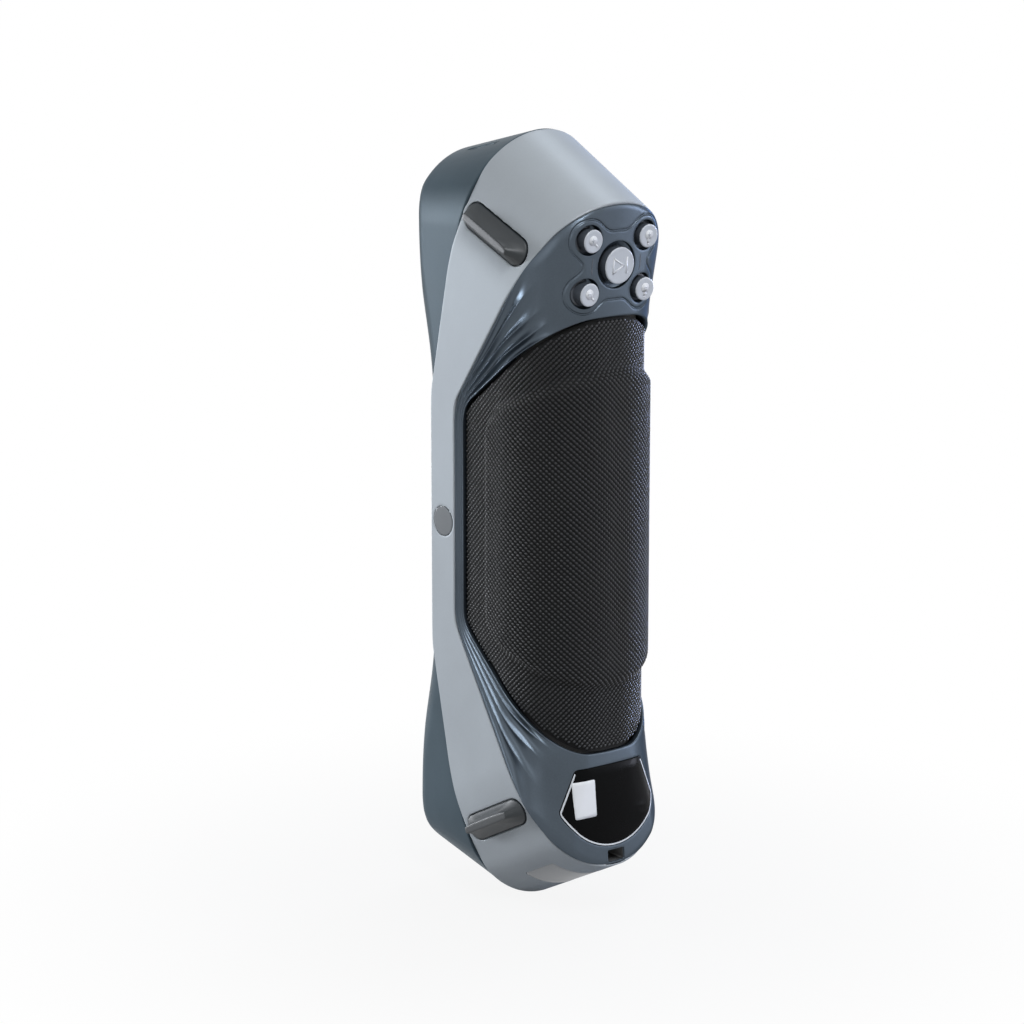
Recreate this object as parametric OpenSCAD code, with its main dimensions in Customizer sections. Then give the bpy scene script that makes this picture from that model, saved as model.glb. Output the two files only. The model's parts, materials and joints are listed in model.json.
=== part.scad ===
// Handheld three-dimensional scanner, upright, with its front to -Y and its grip and buttons to +Y.
// Millimetres. The origin is the centre of the object. The two side plates face -X and +X.

/* [Body] */
// Width across the two silver side plates
body_w = 45; // [44.5:0.5:46.5]
// Length from end to end
body_l = 213; // [211:0.5:216]
// Distance from the middle to the front face
front_d = 32.1; // [32:0.1:33]
// Wall of the shells and of the band
wall = 2; // [1.8:0.1:2.1]
// Thickness of the front wall behind the front glass
front_wall = 3.6; // [3.4:0.1:3.8]

/* [Ends] */
// Lean of the upper silver end, in degrees
end_lean = 28; // [27.5:0.5:28.5]
// Lean of the lower silver end, in degrees
low_lean = 26.5; // [26:0.5:27]
// Radius of the round silver ends
end_r = 20.6; // [20.2:0.1:20.9]
// Lean of the front shell's end surfaces, in degrees
nose_lean = 13; // [12.4:0.2:13.6]
// Lean of the flanks between a side plate and a round end, in degrees
flank_lean = 25; // [24:0.5:26]

/* [Seams] */
// Depth of the silver side plate at the waist
plate_d = 10.4; // [10:0.2:10.8]
// Upper end of the straight waist, above the middle
waist_up = 33.2; // [32.8:0.2:33.6]
// Lower end of the straight waist, below the middle
waist_low = 27.6; // [27.2:0.2:28]
// Half width of the front face at the waist
nose_waist_w = 11.5; // [11:0.5:12]
// Half width of the front face at its two ends
nose_end_w = 19.6; // [19.4:0.2:19.8]

/* [Rear shell] */
// Back of the button panel at the middle of the play button
panel_y = 30; // [29.8:0.1:30.2]
// Distance of the play button from the upper end
panel_drop = 33.4; // [33:0.2:33.8]
// Lean of the button panel and of the label panel, in degrees
panel_lean = 5.7; // [5.3:0.1:6]
// Radius of the long rear edges
rear_r = 16; // [15.5:0.5:16.5]
// Width of one groove at the wide end of a rib fan
groove_w = 1.8; // [1.4:0.2:2]

/* [Grip] */
// Height of the lower band of the grip, from the middle to the back
grip_back = 28.5; // [28.3:0.1:28.7]
// Half width of the lower band of the grip
grip_w = 21.5; // [21.4:0.1:21.7]
// Rise of the raised field of the grip
grip_rise = 1.8; // [1.4:0.1:2]
// Thickness of the grip pad at its lower band
grip_t = 2.2; // [2:0.1:2.3]

/* [Buttons] */
// Diameter of the play button
play_d = 9.8; // [9.4:0.1:10]
// Diameter of the four small buttons
small_d = 6.8; // [6.4:0.1:7]
// Sideways distance of the small buttons from the middle
small_x = 9.5; // [9.4:0.1:9.8]
// Distance of the small buttons above and below the play button
small_z = 7.1; // [7:0.1:7.4]
// Travel of a button
button_travel = 0.6; // [0.5:0.05:0.6]
// Gap all round a button
button_gap = 0.2; // [0.15:0.05:0.25]

/* [Pads and caps] */
// Length of a side pad
pad_l = 26; // [25:0.5:27]
// Width of a side pad
pad_w = 7.8; // [7.4:0.2:8]
// How far a side pad stands out of the side plate
pad_out = 2.1; // [1.9:0.1:2.3]
// Diameter of the cap in the middle of a side plate
cap_d = 8.4; // [8:0.1:8.8]

/* [Socket] */
// Width of the mouth of the cable socket
mouth_w = 6; // [5.8:0.1:6.4]
// Height of the mouth of the cable socket
mouth_h = 4.2; // [4.15:0.05:4.3]

/* [Optics] */
// Distance of a scan camera from the nearer end
camera_drop = 30.5; // [30:0.5:31]
// Outer diameter of a scan camera's barrel
barrel_d = 14; // [13:0.5:14.5]
// Height of the projector above the middle
projector_z = 22; // [21.5:0.5:22.5]
// Height of the colour camera below the middle
colour_z = 24; // [23.5:0.5:25]

/* [Hidden] */
$fn = 96;

half_w = body_w / 2;
half_l = body_l / 2;
panel_z = half_l - panel_drop;
camera_z = half_l - camera_drop;

// The front seam on a side plate, as [y, z] from the waist to the end
front_seam = [[-21.1, 0], [-21.1, half_l - 71.5], [-18.7, half_l - 60.5],
    [-13.2, half_l - 35.5], [-0.1, half_l]];
plate_back = front_seam[0][0] + plate_d;
// The rear seam on a side plate, as [y, z] from the waist to an end
function rear_seam(waist) = [[plate_back, 0], [plate_back, waist], [14.9, half_l - 38.1],
    [31.9, half_l - (waist == waist_low ? 15.4 : 16.5)]];
seam_end = [44, half_l - 1.1];

// The round silver end, measured along e, which is square to its ruling lines
function end_top(lean) = front_seam[4][0] * sin(lean) + half_l * cos(lean);
// The end of the front shell, measured the same way along its own lean
nose_r = 22;
nose_top = -front_seam[4][0] * sin(nose_lean) + half_l * cos(nose_lean);

// The slanted walls of the front shell at the waist
slant_s = (half_w - front_seam[0][0]) * cos(45);
slant_end_s = (nose_end_w + front_d) * cos(45) + 0.3;

// The outline of the grip on the rear shell, as seen from the side
grip_y = -6.9;
grip_in = 0.5;
grip_tip = [29, half_l - 47.1];
function grip_slope(waist) = (grip_tip[1] - waist + grip_in) / (grip_tip[0] - grip_y);
// The floor under the grip pad
floor_w = grip_w - grip_t;
floor_y = grip_back - grip_t;
floor_r = 17.2;
floor_wall = 1.7;

// The button panel's own frame has its origin on the surface at the play button
button_back = -2.1;
flange_t = 0.9;
plunger_top = -4.9;
switch_top = -5.4;
board_top = -8.4;
board_t = 1.2;
play_up = 1.3;
small_up = 0.7;
small_places = [[small_x, -small_z], [small_x, small_z], [-small_x, -small_z], [-small_x, small_z]];

// The side pads
pad_y = 6.65;
pad_z = half_l - 26.55;
pad_lean = 30;
pad_floor = half_w - 2.5;
seat_x = half_w - 5.6;
lug_x = half_w - 5;
cap_y = -15.6;
cap_t = 1.2;

// The chassis and what it carries
spine_front = -4;
spine_back = -1.5;
spine_w = 15;
spine_l = half_l - 22.5;
front_boss = [12.4, half_l - 48.5];
rear_boss = [9, half_l - 54.5];
board_l = rear_boss[1] - 4.5;
board_screw_z = board_l - 3.5;
plug_in = board_l - 10;
chip_l = 8.8;
main_chip_l = 17;
chip_gap = (2 * plug_in - main_chip_l - 3 * chip_l) / 5;
main_chip_z = plug_in - 2 * chip_gap - chip_l - main_chip_l;
screw_d = 2.9;
screw_hole = 3;
clear_hole = 3.2;
glass_t = 1.6;
glass_y = -front_d + 0.2;
ring_y = -front_d + front_wall;
lens_y = glass_y + glass_t + 0.7;
socket_z = 18.3 - half_l;
socket_screw_z = socket_z + 13.1;
socket_wall = 0.5;
socket_back = 20.5;

// An outline made of its upper half and of its lower half turned over
function both_ends(up, low) = concat(up,
    [for (k = [len(low) - 1:-1:0]) if (low[k][1] > 0) [low[k][0], -low[k][1]]]);

// A flat outline in y and z, extruded across the width from x0 to x1
module across(x0, x1) {
    translate([x0, 0, 0]) rotate([90, 0, 90]) linear_extrude(x1 - x0) children();
}

// A flat outline in x and e, extruded front to back and leant over the top end
module leant(lean) {
    rotate([-lean, 0, 0]) rotate([90, 0, 0]) translate([0, 0, -100]) linear_extrude(200) children();
}

module end_outline(w, r, c) {
    translate([0, c]) circle(r);
    crease = c + (r - w * cos(flank_lean)) / sin(flank_lean);
    tip = [r * cos(flank_lean), c + r * sin(flank_lean)];
    polygon([[-w, -150], [w, -150], [w, crease], tip, [-tip[0], tip[1]], [-w, crease]]);
}

// The whole body between its two silver ends, made smaller by i all round
module end_solid(i) {
    intersection() {
        leant(end_lean) end_outline(half_w - i, end_r - i, end_top(end_lean) - end_r);
        mirror([0, 0, 1]) leant(low_lean)
            end_outline(half_w - i, end_r - i, end_top(low_lean) - end_r);
    }
}

module nose_solid(i) {
    intersection() {
        leant(-nose_lean) end_outline(half_w - i, nose_r - i, nose_top - nose_r);
        mirror([0, 0, 1]) leant(-nose_lean)
            end_outline(half_w - i, nose_r - i, nose_top - nose_r);
    }
}

// The front shell's cross-section narrows to the front, with bevelled front edges
module nose_section(i, face) {
    w = nose_end_w - i;
    y = -front_d + face;
    linear_extrude(2 * half_l + 20, center = true)
        polygon([[half_w - i, 40], [half_w - i, -7], [w, y + 2.2], [w - 2, y],
            [-w + 2, y], [-w, y + 2.2], [-half_w + i, -7], [-half_w + i, 40]]);
}

// The slanted side walls that give the front its waist
module nose_waist(i) {
    half = [[slant_s - i, 0], [slant_s - i, half_l - 69.5], [slant_end_s - i, half_l - 26.5],
        [slant_end_s - i, half_l + 20], [-80, half_l + 20], [-80, 0]];
    rotate([0, 0, -45]) rotate([90, 0, 0]) translate([0, 0, -90]) linear_extrude(180)
        polygon(both_ends(half, half));
}

module front_outer(i, face) {
    intersection() {
        nose_solid(i);
        nose_section(i, face);
        nose_waist(i);
        mirror([1, 0, 0]) nose_waist(i);
    }
}

// The cross-section of the back: straight sides, round edges and a slightly crowned back
module back_section(w, b, r) {
    intersection() {
        union() {
            translate([-w, -80]) square([2 * w, 80 + b - r]);
            translate([-(w - r), -80]) square([2 * (w - r), 80 + b]);
            for (s = [-1, 1]) translate([s * (w - r), b - r]) circle(r);
        }
        translate([0, b - 110]) circle(110, $fn = 200);
    }
}

module panel_section(i) {
    b = panel_y * cos(panel_lean) - panel_z * sin(panel_lean);
    rotate([-panel_lean, 0, 0]) translate([0, 0, -20]) linear_extrude(half_l + 40)
        back_section(half_w - i, b - i, rear_r - i);
}

module floor_section(i) {
    w = floor_w - i;
    r = floor_r - i;
    b = floor_y - i;
    linear_extrude(140, center = true) {
        translate([-w, -80]) square([2 * w, 80 + b - r]);
        translate([-(w - r), -80]) square([2 * (w - r), 80 + b]);
        for (s = [-1, 1]) translate([s * (w - r), b - r]) circle(r);
    }
}

// The outside of the rear shell, made smaller by i all round
module rear_outer(i) {
    intersection() {
        end_solid(i);
        union() {
            intersection() {
                panel_section(i);
                translate([-60, -60, 0]) cube([120, 120, 140]);
            }
            mirror([0, 0, 1]) intersection() {
                panel_section(i);
                translate([-60, -60, 0]) cube([120, 120, 140]);
            }
            floor_section(i);
        }
    }
}

// The ground that the grip covers, seen from the side and made larger by g
module grip_ground(g) {
    across(-60, 60) polygon(both_ends(grip_edge(waist_up, g), grip_edge(waist_low, g)));
}

function grip_edge(waist, g) = let (z0 = waist - grip_in + g * 0.6, y0 = grip_y - g)
    [[y0, 0], [y0, z0], [40, z0 + (40 - y0) * grip_slope(waist) + g * 0.5], [41, 0]];

// Puts its children in the button panel's frame, with +Z out of the panel and +Y down
module on_panel() {
    translate([0, panel_y, panel_z]) rotate([-90 - panel_lean, 0, 0]) children();
}

module pad_outline(grow) {
    r = pad_w / 2 + grow;
    c = pad_l / 2 - pad_w / 2;
    translate([-c, -r]) square([2 * c, 2 * r]);
    for (s = [-1, 1]) translate([s * c, 0]) circle(r);
}

module pad_place(sx, sz) {
    mirror([sx < 0 ? 1 : 0, 0, 0]) mirror([0, 0, sz < 0 ? 1 : 0])
        translate([0, pad_y, pad_z]) rotate([-pad_lean, 0, 0]) children();
}

// A round bar along X
module bar_x(x0, x1, d) {
    translate([x0, 0, 0]) rotate([0, 90, 0]) cylinder(d = d, h = x1 - x0);
}

// A round bar along Y at [x, z]
module bar_y(x, z, y0, y1, d) {
    translate([x, y1, z]) rotate([90, 0, 0]) cylinder(d = d, h = y1 - y0);
}

// A block from one corner to the other
module block(a, b) {
    translate(a) cube(b - a);
}

// The six screw places of the main board
module board_places() {
    for (z = [-board_screw_z, 0, board_screw_z], x = [-11.5, 11.5]) translate([x, 0, z])
        children();
}

module corners(place) {
    for (sx = [-1, 1], sz = [-1, 1]) translate([sx * place[0], 0, sz * place[1]]) children();
}

// The silver band: two side plates joined by two round ends
module side_band() {
    color("silver") difference() {
        union() {
            difference() {
                intersection() {
                    end_solid(0);
                    band_region();
                }
                end_solid(wall);
            }
            for (sx = [-1, 1], sz = [-1, 1]) intersection() {
                pad_place(sx, sz) across(seat_x, pad_floor + 1) pad_outline(2);
                end_solid(0.6);
                band_region();
            }
            for (sx = [0, 1]) mirror([sx, 0, 0]) translate([0, cap_y, 0])
                bar_x(lug_x, half_w - wall + 0.5, 9.6);
        }
        for (sx = [-1, 1], sz = [-1, 1]) pad_place(sx, sz) {
            across(pad_floor, 40) pad_outline(0.25);
            bar_x(pad_floor - 1.6, 40, 5.8);
            bar_x(0, 40, clear_hole);
        }
        for (sx = [0, 1]) mirror([sx, 0, 0]) translate([0, cap_y, 0]) {
            bar_x(half_w - cap_t - 0.05, 40, cap_d + 0.3);
            bar_x(half_w - cap_t - 1.9, 40, 6.2);
            bar_x(0, 40, clear_hole);
        }
        difference() {
            end_plate_ground(0.15);
            end_solid(0.4);
        }
        socket_space(0.15);
    }
}

module band_region() {
    across(-60, 60) polygon(both_ends(band_edge(waist_up), band_edge(waist_low)));
}

function band_edge(waist) = concat(front_seam, [[0, 130], [44, 130], seam_end],
    [for (k = [3:-1:0]) rear_seam(waist)[k]]);

module front_region() {
    half = concat([[-60, 0], [-60, 130], [0, 130]], [for (k = [4:-1:0]) front_seam[k]]);
    across(-60, 60) polygon(both_ends(half, half));
}

module rear_region() {
    far = [seam_end, [60, 120], [60, 0]];
    across(-60, 60) polygon(both_ends(concat(rear_seam(waist_up), far),
        concat(rear_seam(waist_low), far)));
}

// The front glass: wide round ends and a narrow waist
module glass_outline(grow) {
    e = nose_end_w - 3.2 + grow;
    w = nose_waist_w - 2.3 + grow;
    z1 = half_l - 12 - e + grow;
    z2 = half_l - 36.5;
    z3 = half_l - 69.5;
    right = [[e, -z1], [e, -z2], [w, -z3], [w, z3], [e, z2], [e, z1]];
    polygon(concat(right, [for (k = [5:-1:0]) [-right[k][0], right[k][1]]]));
    for (s = [-1, 1]) translate([0, s * z1]) circle(e);
}

module facing_front(y0, y1) {
    translate([0, y1, 0]) rotate([90, 0, 0]) linear_extrude(y1 - y0) children();
}

module front_glass() {
    color([0.05, 0.06, 0.07]) facing_front(glass_y, glass_y + glass_t) glass_outline(0);
}

module front_shell() {
    color([0.22, 0.25, 0.27]) difference() {
        union() {
            difference() {
                intersection() {
                    front_outer(0, 0);
                    front_region();
                }
                front_outer(wall, front_wall);
            }
            corners(front_boss) bar_y(0, 0, ring_y - 0.5, spine_front, 6);
        }
        facing_front(-60, glass_y + glass_t) glass_outline(0.15);
        corners(front_boss) bar_y(0, 0, ring_y + 8, spine_front + 1, screw_hole);
        for (s = [-1, 1]) bar_y(0, s * camera_z, -60, ring_y + 1, 30);
        bar_y(0, projector_z, -60, ring_y + 1, 17);
        bar_y(0, -3, -60, ring_y + 1, 9);
        bar_y(0, -colour_z, -60, ring_y + 1, 12);
        for (s = [-1, 1]) block([s * 5 - 0.8, 5.1 - front_d, half_l - 46.5],
            [s * 5 + 0.8, 17.1 - front_d, half_l + 20]);
    }
}

// The clover of grooves round the five buttons, in the panel's frame
module clover(grow) {
    circle(9.3 + grow);
    for (p = small_places) translate(p) circle(5.6 + grow);
}

// Three grooves that fan out from a corner of the waist
module rib_fan(waist) {
    tips = [[19.3, half_l - 37.1], [20.4, half_l - 43.3], [20.3, half_l - 49.1]];
    for (k = [0:2]) {
        from = [-9.6 + k * 1.1, waist + 1.6 - k * 0.6];
        d = tips[k] - from;
        side = [-d[1], d[0]] / norm(d);
        across(half_w - 0.5, 60)
            polygon([from + side * 0.25, tips[k] + side * groove_w / 2,
                tips[k] - side * groove_w / 2, from - side * 0.25]);
    }
}

// The ground of the label plate, drawn upward from the lower end
module label_ground(grow) {
    translate([0, 60, -half_l]) rotate([90, 0, 0]) linear_extrude(38) intersection() {
        polygon([[-11.4 - grow, 43.9 + grow], [11.4 + grow, 43.9 + grow],
            [16.5 + grow, 31.7], [16.5 + grow, 17.3], [-16.5 - grow, 17.3],
            [-16.5 - grow, 31.7]]);
        translate([0, 38.9]) circle(17.6 + grow);
    }
}

module end_plate_ground(grow) {
    translate([0, 0, -half_l - 20]) linear_extrude(60) intersection() {
        translate([-13.5 - grow, 11 - grow]) square([27 + 2 * grow, 12.5 + 2 * grow]);
        circle(40);
    }
}

module socket_space(gap) {
    w = mouth_w / 2 + socket_wall + gap;
    h = mouth_h / 2 + socket_wall + gap;
    block([-w, socket_back, socket_z - h], [w, 40, socket_z + h]);
}

module rear_shell() {
    color([0.27, 0.3, 0.33]) difference() {
        union() {
            difference() {
                intersection() {
                    rear_outer(0);
                    rear_region();
                }
                difference() {
                    grip_ground(0.3);
                    floor_section(0);
                }
                difference() {
                    rear_outer(wall);
                    difference() {
                        grip_ground(wall + 0.3);
                        floor_section(floor_wall);
                    }
                }
            }
            intersection() {
                corners(rear_boss) bar_y(0, 0, spine_back, 40, 6);
                floor_section(0.4);
            }
            intersection() {
                on_panel() for (p = [[14.5, 0], [-14.5, 0], [0, 10.5], [0, -10.5]])
                    translate([p[0], p[1], board_top]) cylinder(d = 4.4, h = 12);
                rear_outer(0.6);
            }
            intersection() {
                for (s = [-1, 1]) bar_y(s * 6, socket_screw_z, socket_back, 40, 4.6);
                rear_outer(0.6);
            }
        }
        corners(rear_boss) bar_y(0, 0, spine_back - 1, 16, screw_hole);
        on_panel() {
            button_hole([0, 0], play_d, 2.6);
            for (p = small_places) button_hole(p, small_d, 2);
            for (p = [[14.5, 0], [-14.5, 0], [0, 10.5], [0, -10.5]])
                translate([p[0], p[1], board_top - 1]) cylinder(d = 1.9, h = 4.6);
        }
        difference() {
            on_panel() linear_extrude(20, center = true) difference() {
                clover(0);
                clover(-0.5);
            }
            rear_outer(0.4);
        }
        difference() {
            on_panel() for (p = concat([[0, 0]], small_places))
                translate([p[0], p[1], -10]) cylinder(d = p == [0, 0] ? 12.4 : 8.8, h = 20);
            rear_outer(0.9);
        }
        for (sx = [0, 1], sz = [0, 1]) mirror([sx, 0, 0]) mirror([0, 0, sz])
            rib_fan(sz == 0 ? waist_up : waist_low);
        for (sx = [0, 1], k = [0:2]) mirror([sx, 0, 0])
            block([half_w - 0.4, plate_back + 0.7 + k, -waist_low + 1],
                [60, plate_back + 1.2 + k, waist_up - 1]);
        difference() {
            label_ground(0.15);
            mirror([0, 0, 1]) panel_section(0.4);
        }
        for (s = [-1, 1])
            bar_y(s * 6, socket_screw_z, socket_back - 1, socket_back + 5, 1.9);
        socket_space(0.15);
        translate([0, 0, -0.8]) socket_space(0.15);
    }
}

// A hole through the panel for one button
module button_hole(p, d, over) {
    translate([p[0], p[1], -8]) cylinder(d = d + 2 * button_gap, h = 16);
    translate([p[0], p[1], board_top + 0.1])
        cylinder(d = d + over, h = button_back + 0.1 - board_top);
}

// One side of the grip's cross-section, from its edge to the middle of the back
function grip_half(w, b, r, sides, arcs) = concat(
    [for (k = [0:sides - 1]) [w, grip_y + (b - r - grip_y) * k / sides, 0]],
    [for (k = [0:arcs]) [w - r + r * cos(90 * k / arcs), b - r + r * sin(90 * k / arcs),
        90 * k / arcs]]);

function grip_section(w, b, r, sides, arcs) = let (half = grip_half(w, b, r, sides, arcs))
    concat(half, [for (k = [len(half) - 1:-1:0]) [-half[k][0], half[k][1], 180 - half[k][2]]]);

function ramp(a, b, v) = let (t = max(0, min(1, (v - a) / (b - a)))) t * t * (3 - 2 * t);

// How far the raised field stands up at one place of the grip
function grip_height(y, z) = let (rim = 28 + 0.5 * (y - 4) + (z < 0 ? waist_low - waist_up : 0))
    grip_rise * min(1, max(0, (y - grip_y) / 10.5)) * (1 - ramp(rim, rim + 6, abs(z)));

// Where the grip ends above (v > 0) or below the middle
function grip_end(v, y) = let (waist = v < 0 ? waist_low : waist_up)
    waist - grip_in + (y - grip_y) * grip_slope(waist);

// The fabric-covered grip pad, lofted over its hexagonal ground
module grip_pad() {
    sides = 5;
    arcs = 8;
    rows = [-1, -0.93, -0.86, -0.79, -0.73, -0.67, -0.61, -0.54, -0.36, -0.18, 0,
        0.18, 0.36, 0.54, 0.61, 0.67, 0.73, 0.79, 0.86, 0.93, 1];
    outer = grip_section(grip_w, grip_back, 19.5, sides, arcs);
    inner = grip_section(floor_w + 0.2, floor_y + 0.2, floor_r + 0.2, sides, arcs);
    nc = len(outer);
    nr = len(rows);
    top = [for (v = rows, p = outer) let (z = v * grip_end(v, p[1]), h = grip_height(p[1], z))
        [p[0] + h * cos(p[2]), p[1] + h * sin(p[2]), z]];
    bottom = [for (v = rows, k = [0:nc - 1]) [inner[k][0], inner[k][1],
        v * grip_end(v, inner[k][1])]];
    n = nc * nr;
    faces = concat(
        [for (i = [0:nr - 2], k = [0:nc - 2]) let (a = i * nc + k)
            each [[a, a + nc, a + 1], [a + 1, a + nc, a + nc + 1]]],
        [for (i = [0:nr - 2], k = [0:nc - 2]) let (a = n + i * nc + k)
            each [[a, a + 1, a + nc], [a + 1, a + nc + 1, a + nc]]],
        [for (k = [0:nc - 2]) each [[k, k + 1, n + k], [k + 1, n + k + 1, n + k]]],
        [for (k = [0:nc - 2]) let (a = n - nc + k)
            each [[a, n + a, a + 1], [a + 1, n + a, n + a + 1]]],
        [for (i = [0:nr - 2]) let (a = i * nc)
            each [[a, n + a, a + nc], [a + nc, n + a, n + a + nc]]],
        [for (i = [0:nr - 2]) let (a = i * nc + nc - 1)
            each [[a, a + nc, n + a], [a + nc, n + a + nc, n + a]]]);
    color([0.1, 0.11, 0.13]) polyhedron(points = concat(top, bottom), faces = faces);
}

module label_plate() {
    color([0.03, 0.03, 0.03]) intersection() {
        label_ground(0);
        mirror([0, 0, 1]) difference() {
            panel_section(0);
            panel_section(0.35);
        }
    }
}

module end_plate() {
    color([0.5, 0.5, 0.52]) difference() {
        intersection() {
            end_plate_ground(0);
            end_solid(0);
        }
        end_solid(0.35);
    }
}

module side_pad(sx, sz) {
    color([0.2, 0.22, 0.24]) difference() {
        pad_place(sx, sz) {
            across(pad_floor, half_w + pad_out * 0.4) pad_outline(0);
            translate([0, 0, -0.6])
                across(half_w + pad_out * 0.3, half_w + pad_out) pad_outline(-1.1);
        }
        pad_place(sx, sz) bar_x(pad_floor - 1, pad_floor + 0.1, 5.8);
    }
}

module upper_left_pad() {
    side_pad(-1, 1);
}

module upper_right_pad() {
    side_pad(1, 1);
}

module lower_left_pad() {
    side_pad(-1, -1);
}

module lower_right_pad() {
    side_pad(1, -1);
}

module side_cap(s) {
    color([0.36, 0.39, 0.42]) mirror([s < 0 ? 1 : 0, 0, 0]) translate([0, cap_y, 0])
        bar_x(half_w - cap_t - 0.05, half_w, cap_d);
}

module left_cap() {
    side_cap(-1);
}

module right_cap() {
    side_cap(1);
}

// The cast frame that carries the cameras, the projector and the boards
module chassis() {
    color([0.6, 0.61, 0.63]) difference() {
        union() {
            block([-spine_w, spine_front, -spine_l], [spine_w, spine_back, spine_l]);
            for (sx = [0, 1], sz = [0, 1]) mirror([sx, 0, 0]) mirror([0, 0, sz])
                block([seat_x - 4.4, spine_front, pad_z - 4.45], [seat_x, 11, spine_l]);
            for (sx = [0, 1]) mirror([sx, 0, 0])
                block([lug_x - 6, -20, -6], [lug_x, spine_back, 6]);
            board_places() bar_y(0, 0, spine_back - 0.5, 1.5, 5);
        }
        for (sx = [-1, 1], sz = [-1, 1]) pad_place(sx, sz) bar_x(seat_x - 8, 40, screw_hole);
        for (sx = [0, 1]) mirror([sx, 0, 0]) translate([0, cap_y, 0]) bar_x(lug_x - 7, 40, screw_hole);
        corners(front_boss) bar_y(0, 0, -9, 9, clear_hole);
        corners(rear_boss) bar_y(0, 0, -9, 9, clear_hole);
        board_places() bar_y(0, 0, -9, 9, 2);
        for (s = [-1, 1])
            block([-6, -9, s * front_boss[1] - 3.2], [6, 9, s * front_boss[1] + 3.2]);
        block([-5, -9, board_l - 13.5], [5, 9, board_l - 3.5]);
        block([-5, -9, 1.5 - board_l], [5, 9, 9.5 - board_l]);
    }
}

module camera_board(z, size) {
    color([0.1, 0.35, 0.2])
        block([-size / 2, spine_front - 1.2, z - size / 2], [size / 2, spine_front, z + size / 2]);
}

module upper_camera_board() {
    camera_board(camera_z, 21);
}

module lower_camera_board() {
    camera_board(-camera_z, 21);
}

module camera_holder(z) {
    color([0.12, 0.12, 0.13]) difference() {
        block([-9, -13, z - 9], [9, spine_front - 1.2, z + 9]);
        bar_y(0, z, -20, -8, barrel_d + 0.06);
        bar_y(0, z, -20, 0, 10);
    }
}

module upper_camera_holder() {
    camera_holder(camera_z);
}

module lower_camera_holder() {
    camera_holder(-camera_z);
}

// A lens barrel open at the front and the back, with a seat for its lens
module barrel(z, d, y0, y1, lens_d) {
    color([0.15, 0.15, 0.16]) difference() {
        bar_y(0, z, y0, y1, d);
        bar_y(0, z, y0 - 1, y1 + 1, lens_d - 2);
        bar_y(0, z, y0 - 1, y0 + 2.2, lens_d);
    }
}

module lens(z, d, y) {
    color([0.25, 0.3, 0.5]) bar_y(0, z, y + 0.2, y + 2.2, d - 0.04);
}

module upper_camera_barrel() {
    barrel(camera_z, barrel_d, lens_y, -8, 11);
}

module lower_camera_barrel() {
    barrel(-camera_z, barrel_d, lens_y, -8, 11);
}

module upper_camera_lens() {
    lens(camera_z, 11, lens_y);
}

module lower_camera_lens() {
    lens(-camera_z, 11, lens_y);
}

// A ring of eight small lights round a camera
module light_ring(z) {
    color([0.9, 0.92, 0.95]) translate([0, 0, z]) {
        difference() {
            bar_y(0, 0, ring_y, ring_y + 1.2, 2 * (nose_end_w - wall - 2.2));
            bar_y(0, 0, ring_y - 1, ring_y + 9, barrel_d + 0.6);
        }
        for (k = [0:7]) rotate([0, k * 45, 0])
            block([10.4, ring_y - 1, -1.4], [13.2, ring_y + 0.2, 1.4]);
    }
}

module upper_light_ring() {
    light_ring(camera_z);
}

module lower_light_ring() {
    light_ring(-camera_z);
}

module projector_housing() {
    color([0.5, 0.51, 0.53]) difference() {
        block([-10, -19, projector_z - 10], [10, spine_front, projector_z + 10]);
        bar_y(0, projector_z, -30, -12, 14.06);
        for (z = [-7.5, -4.5, 4.5, 7.5])
            block([-11, -15, projector_z + z - 0.6], [-8.2, -5, projector_z + z + 0.6]);
        for (z = [-7.5, -4.5, 4.5, 7.5])
            block([8.2, -15, projector_z + z - 0.6], [11, -5, projector_z + z + 0.6]);
    }
}

module projector_barrel() {
    barrel(projector_z, 14, lens_y, -12, 11);
}

module projector_lens() {
    lens(projector_z, 11, lens_y);
}

module laser_module() {
    color([0.75, 0.6, 0.3]) difference() {
        union() {
            bar_y(0, -3, lens_y + 0.2, spine_front, 8);
            bar_y(0, -3, -8, spine_front, 13);
        }
        bar_y(0, -3, lens_y - 0.4, lens_y + 2.2, 6);
    }
}

module laser_lens() {
    color([0.4, 0.45, 0.7]) bar_y(0, -3, lens_y + 0.4, lens_y + 2.2, 5.96);
}

module colour_camera_board() {
    camera_board(-colour_z, 19);
}

module colour_camera_barrel() {
    barrel(-colour_z, 10, lens_y, spine_front - 1.2, 8);
}

module colour_camera_lens() {
    lens(-colour_z, 8, lens_y);
}

module main_board() {
    color([0.08, 0.3, 0.22]) difference() {
        block([-14, 1.5, -board_l], [14, 3.1, board_l]);
        board_places() bar_y(0, 0, -9, 9, 2.4);
    }
}

// The chips stand in rows with even gaps between the two ribbon connectors
module board_chips() {
    rows = [plug_in - chip_gap - chip_l, main_chip_z - chip_gap - chip_l,
        main_chip_z - 2 * (chip_gap + chip_l)];
    color([0.1, 0.1, 0.11]) {
        block([-8.5, 3.1, main_chip_z], [8.5, 4.9, main_chip_z + main_chip_l]);
        for (z = rows, x = [-4.4, 4.4])
            block([x - 3.4, 3.1, z], [x + 3.4, 4.3, z + chip_l]);
        block([-6, 3.1, -plug_in - 5.5], [6, 6.2, -plug_in]);
        block([-6, 3.1, plug_in], [6, 6.2, plug_in + 5.5]);
    }
}

module heat_sink() {
    z0 = main_chip_z - 2;
    z1 = main_chip_z + main_chip_l + 2;
    color([0.25, 0.26, 0.28]) {
        block([-12, 4.9, z0], [12, 6.9, z1]);
        for (k = [0:6]) block([-12 + k * 3.75, 6.8, z0], [-10.5 + k * 3.75, 14, z1]);
    }
}

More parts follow.
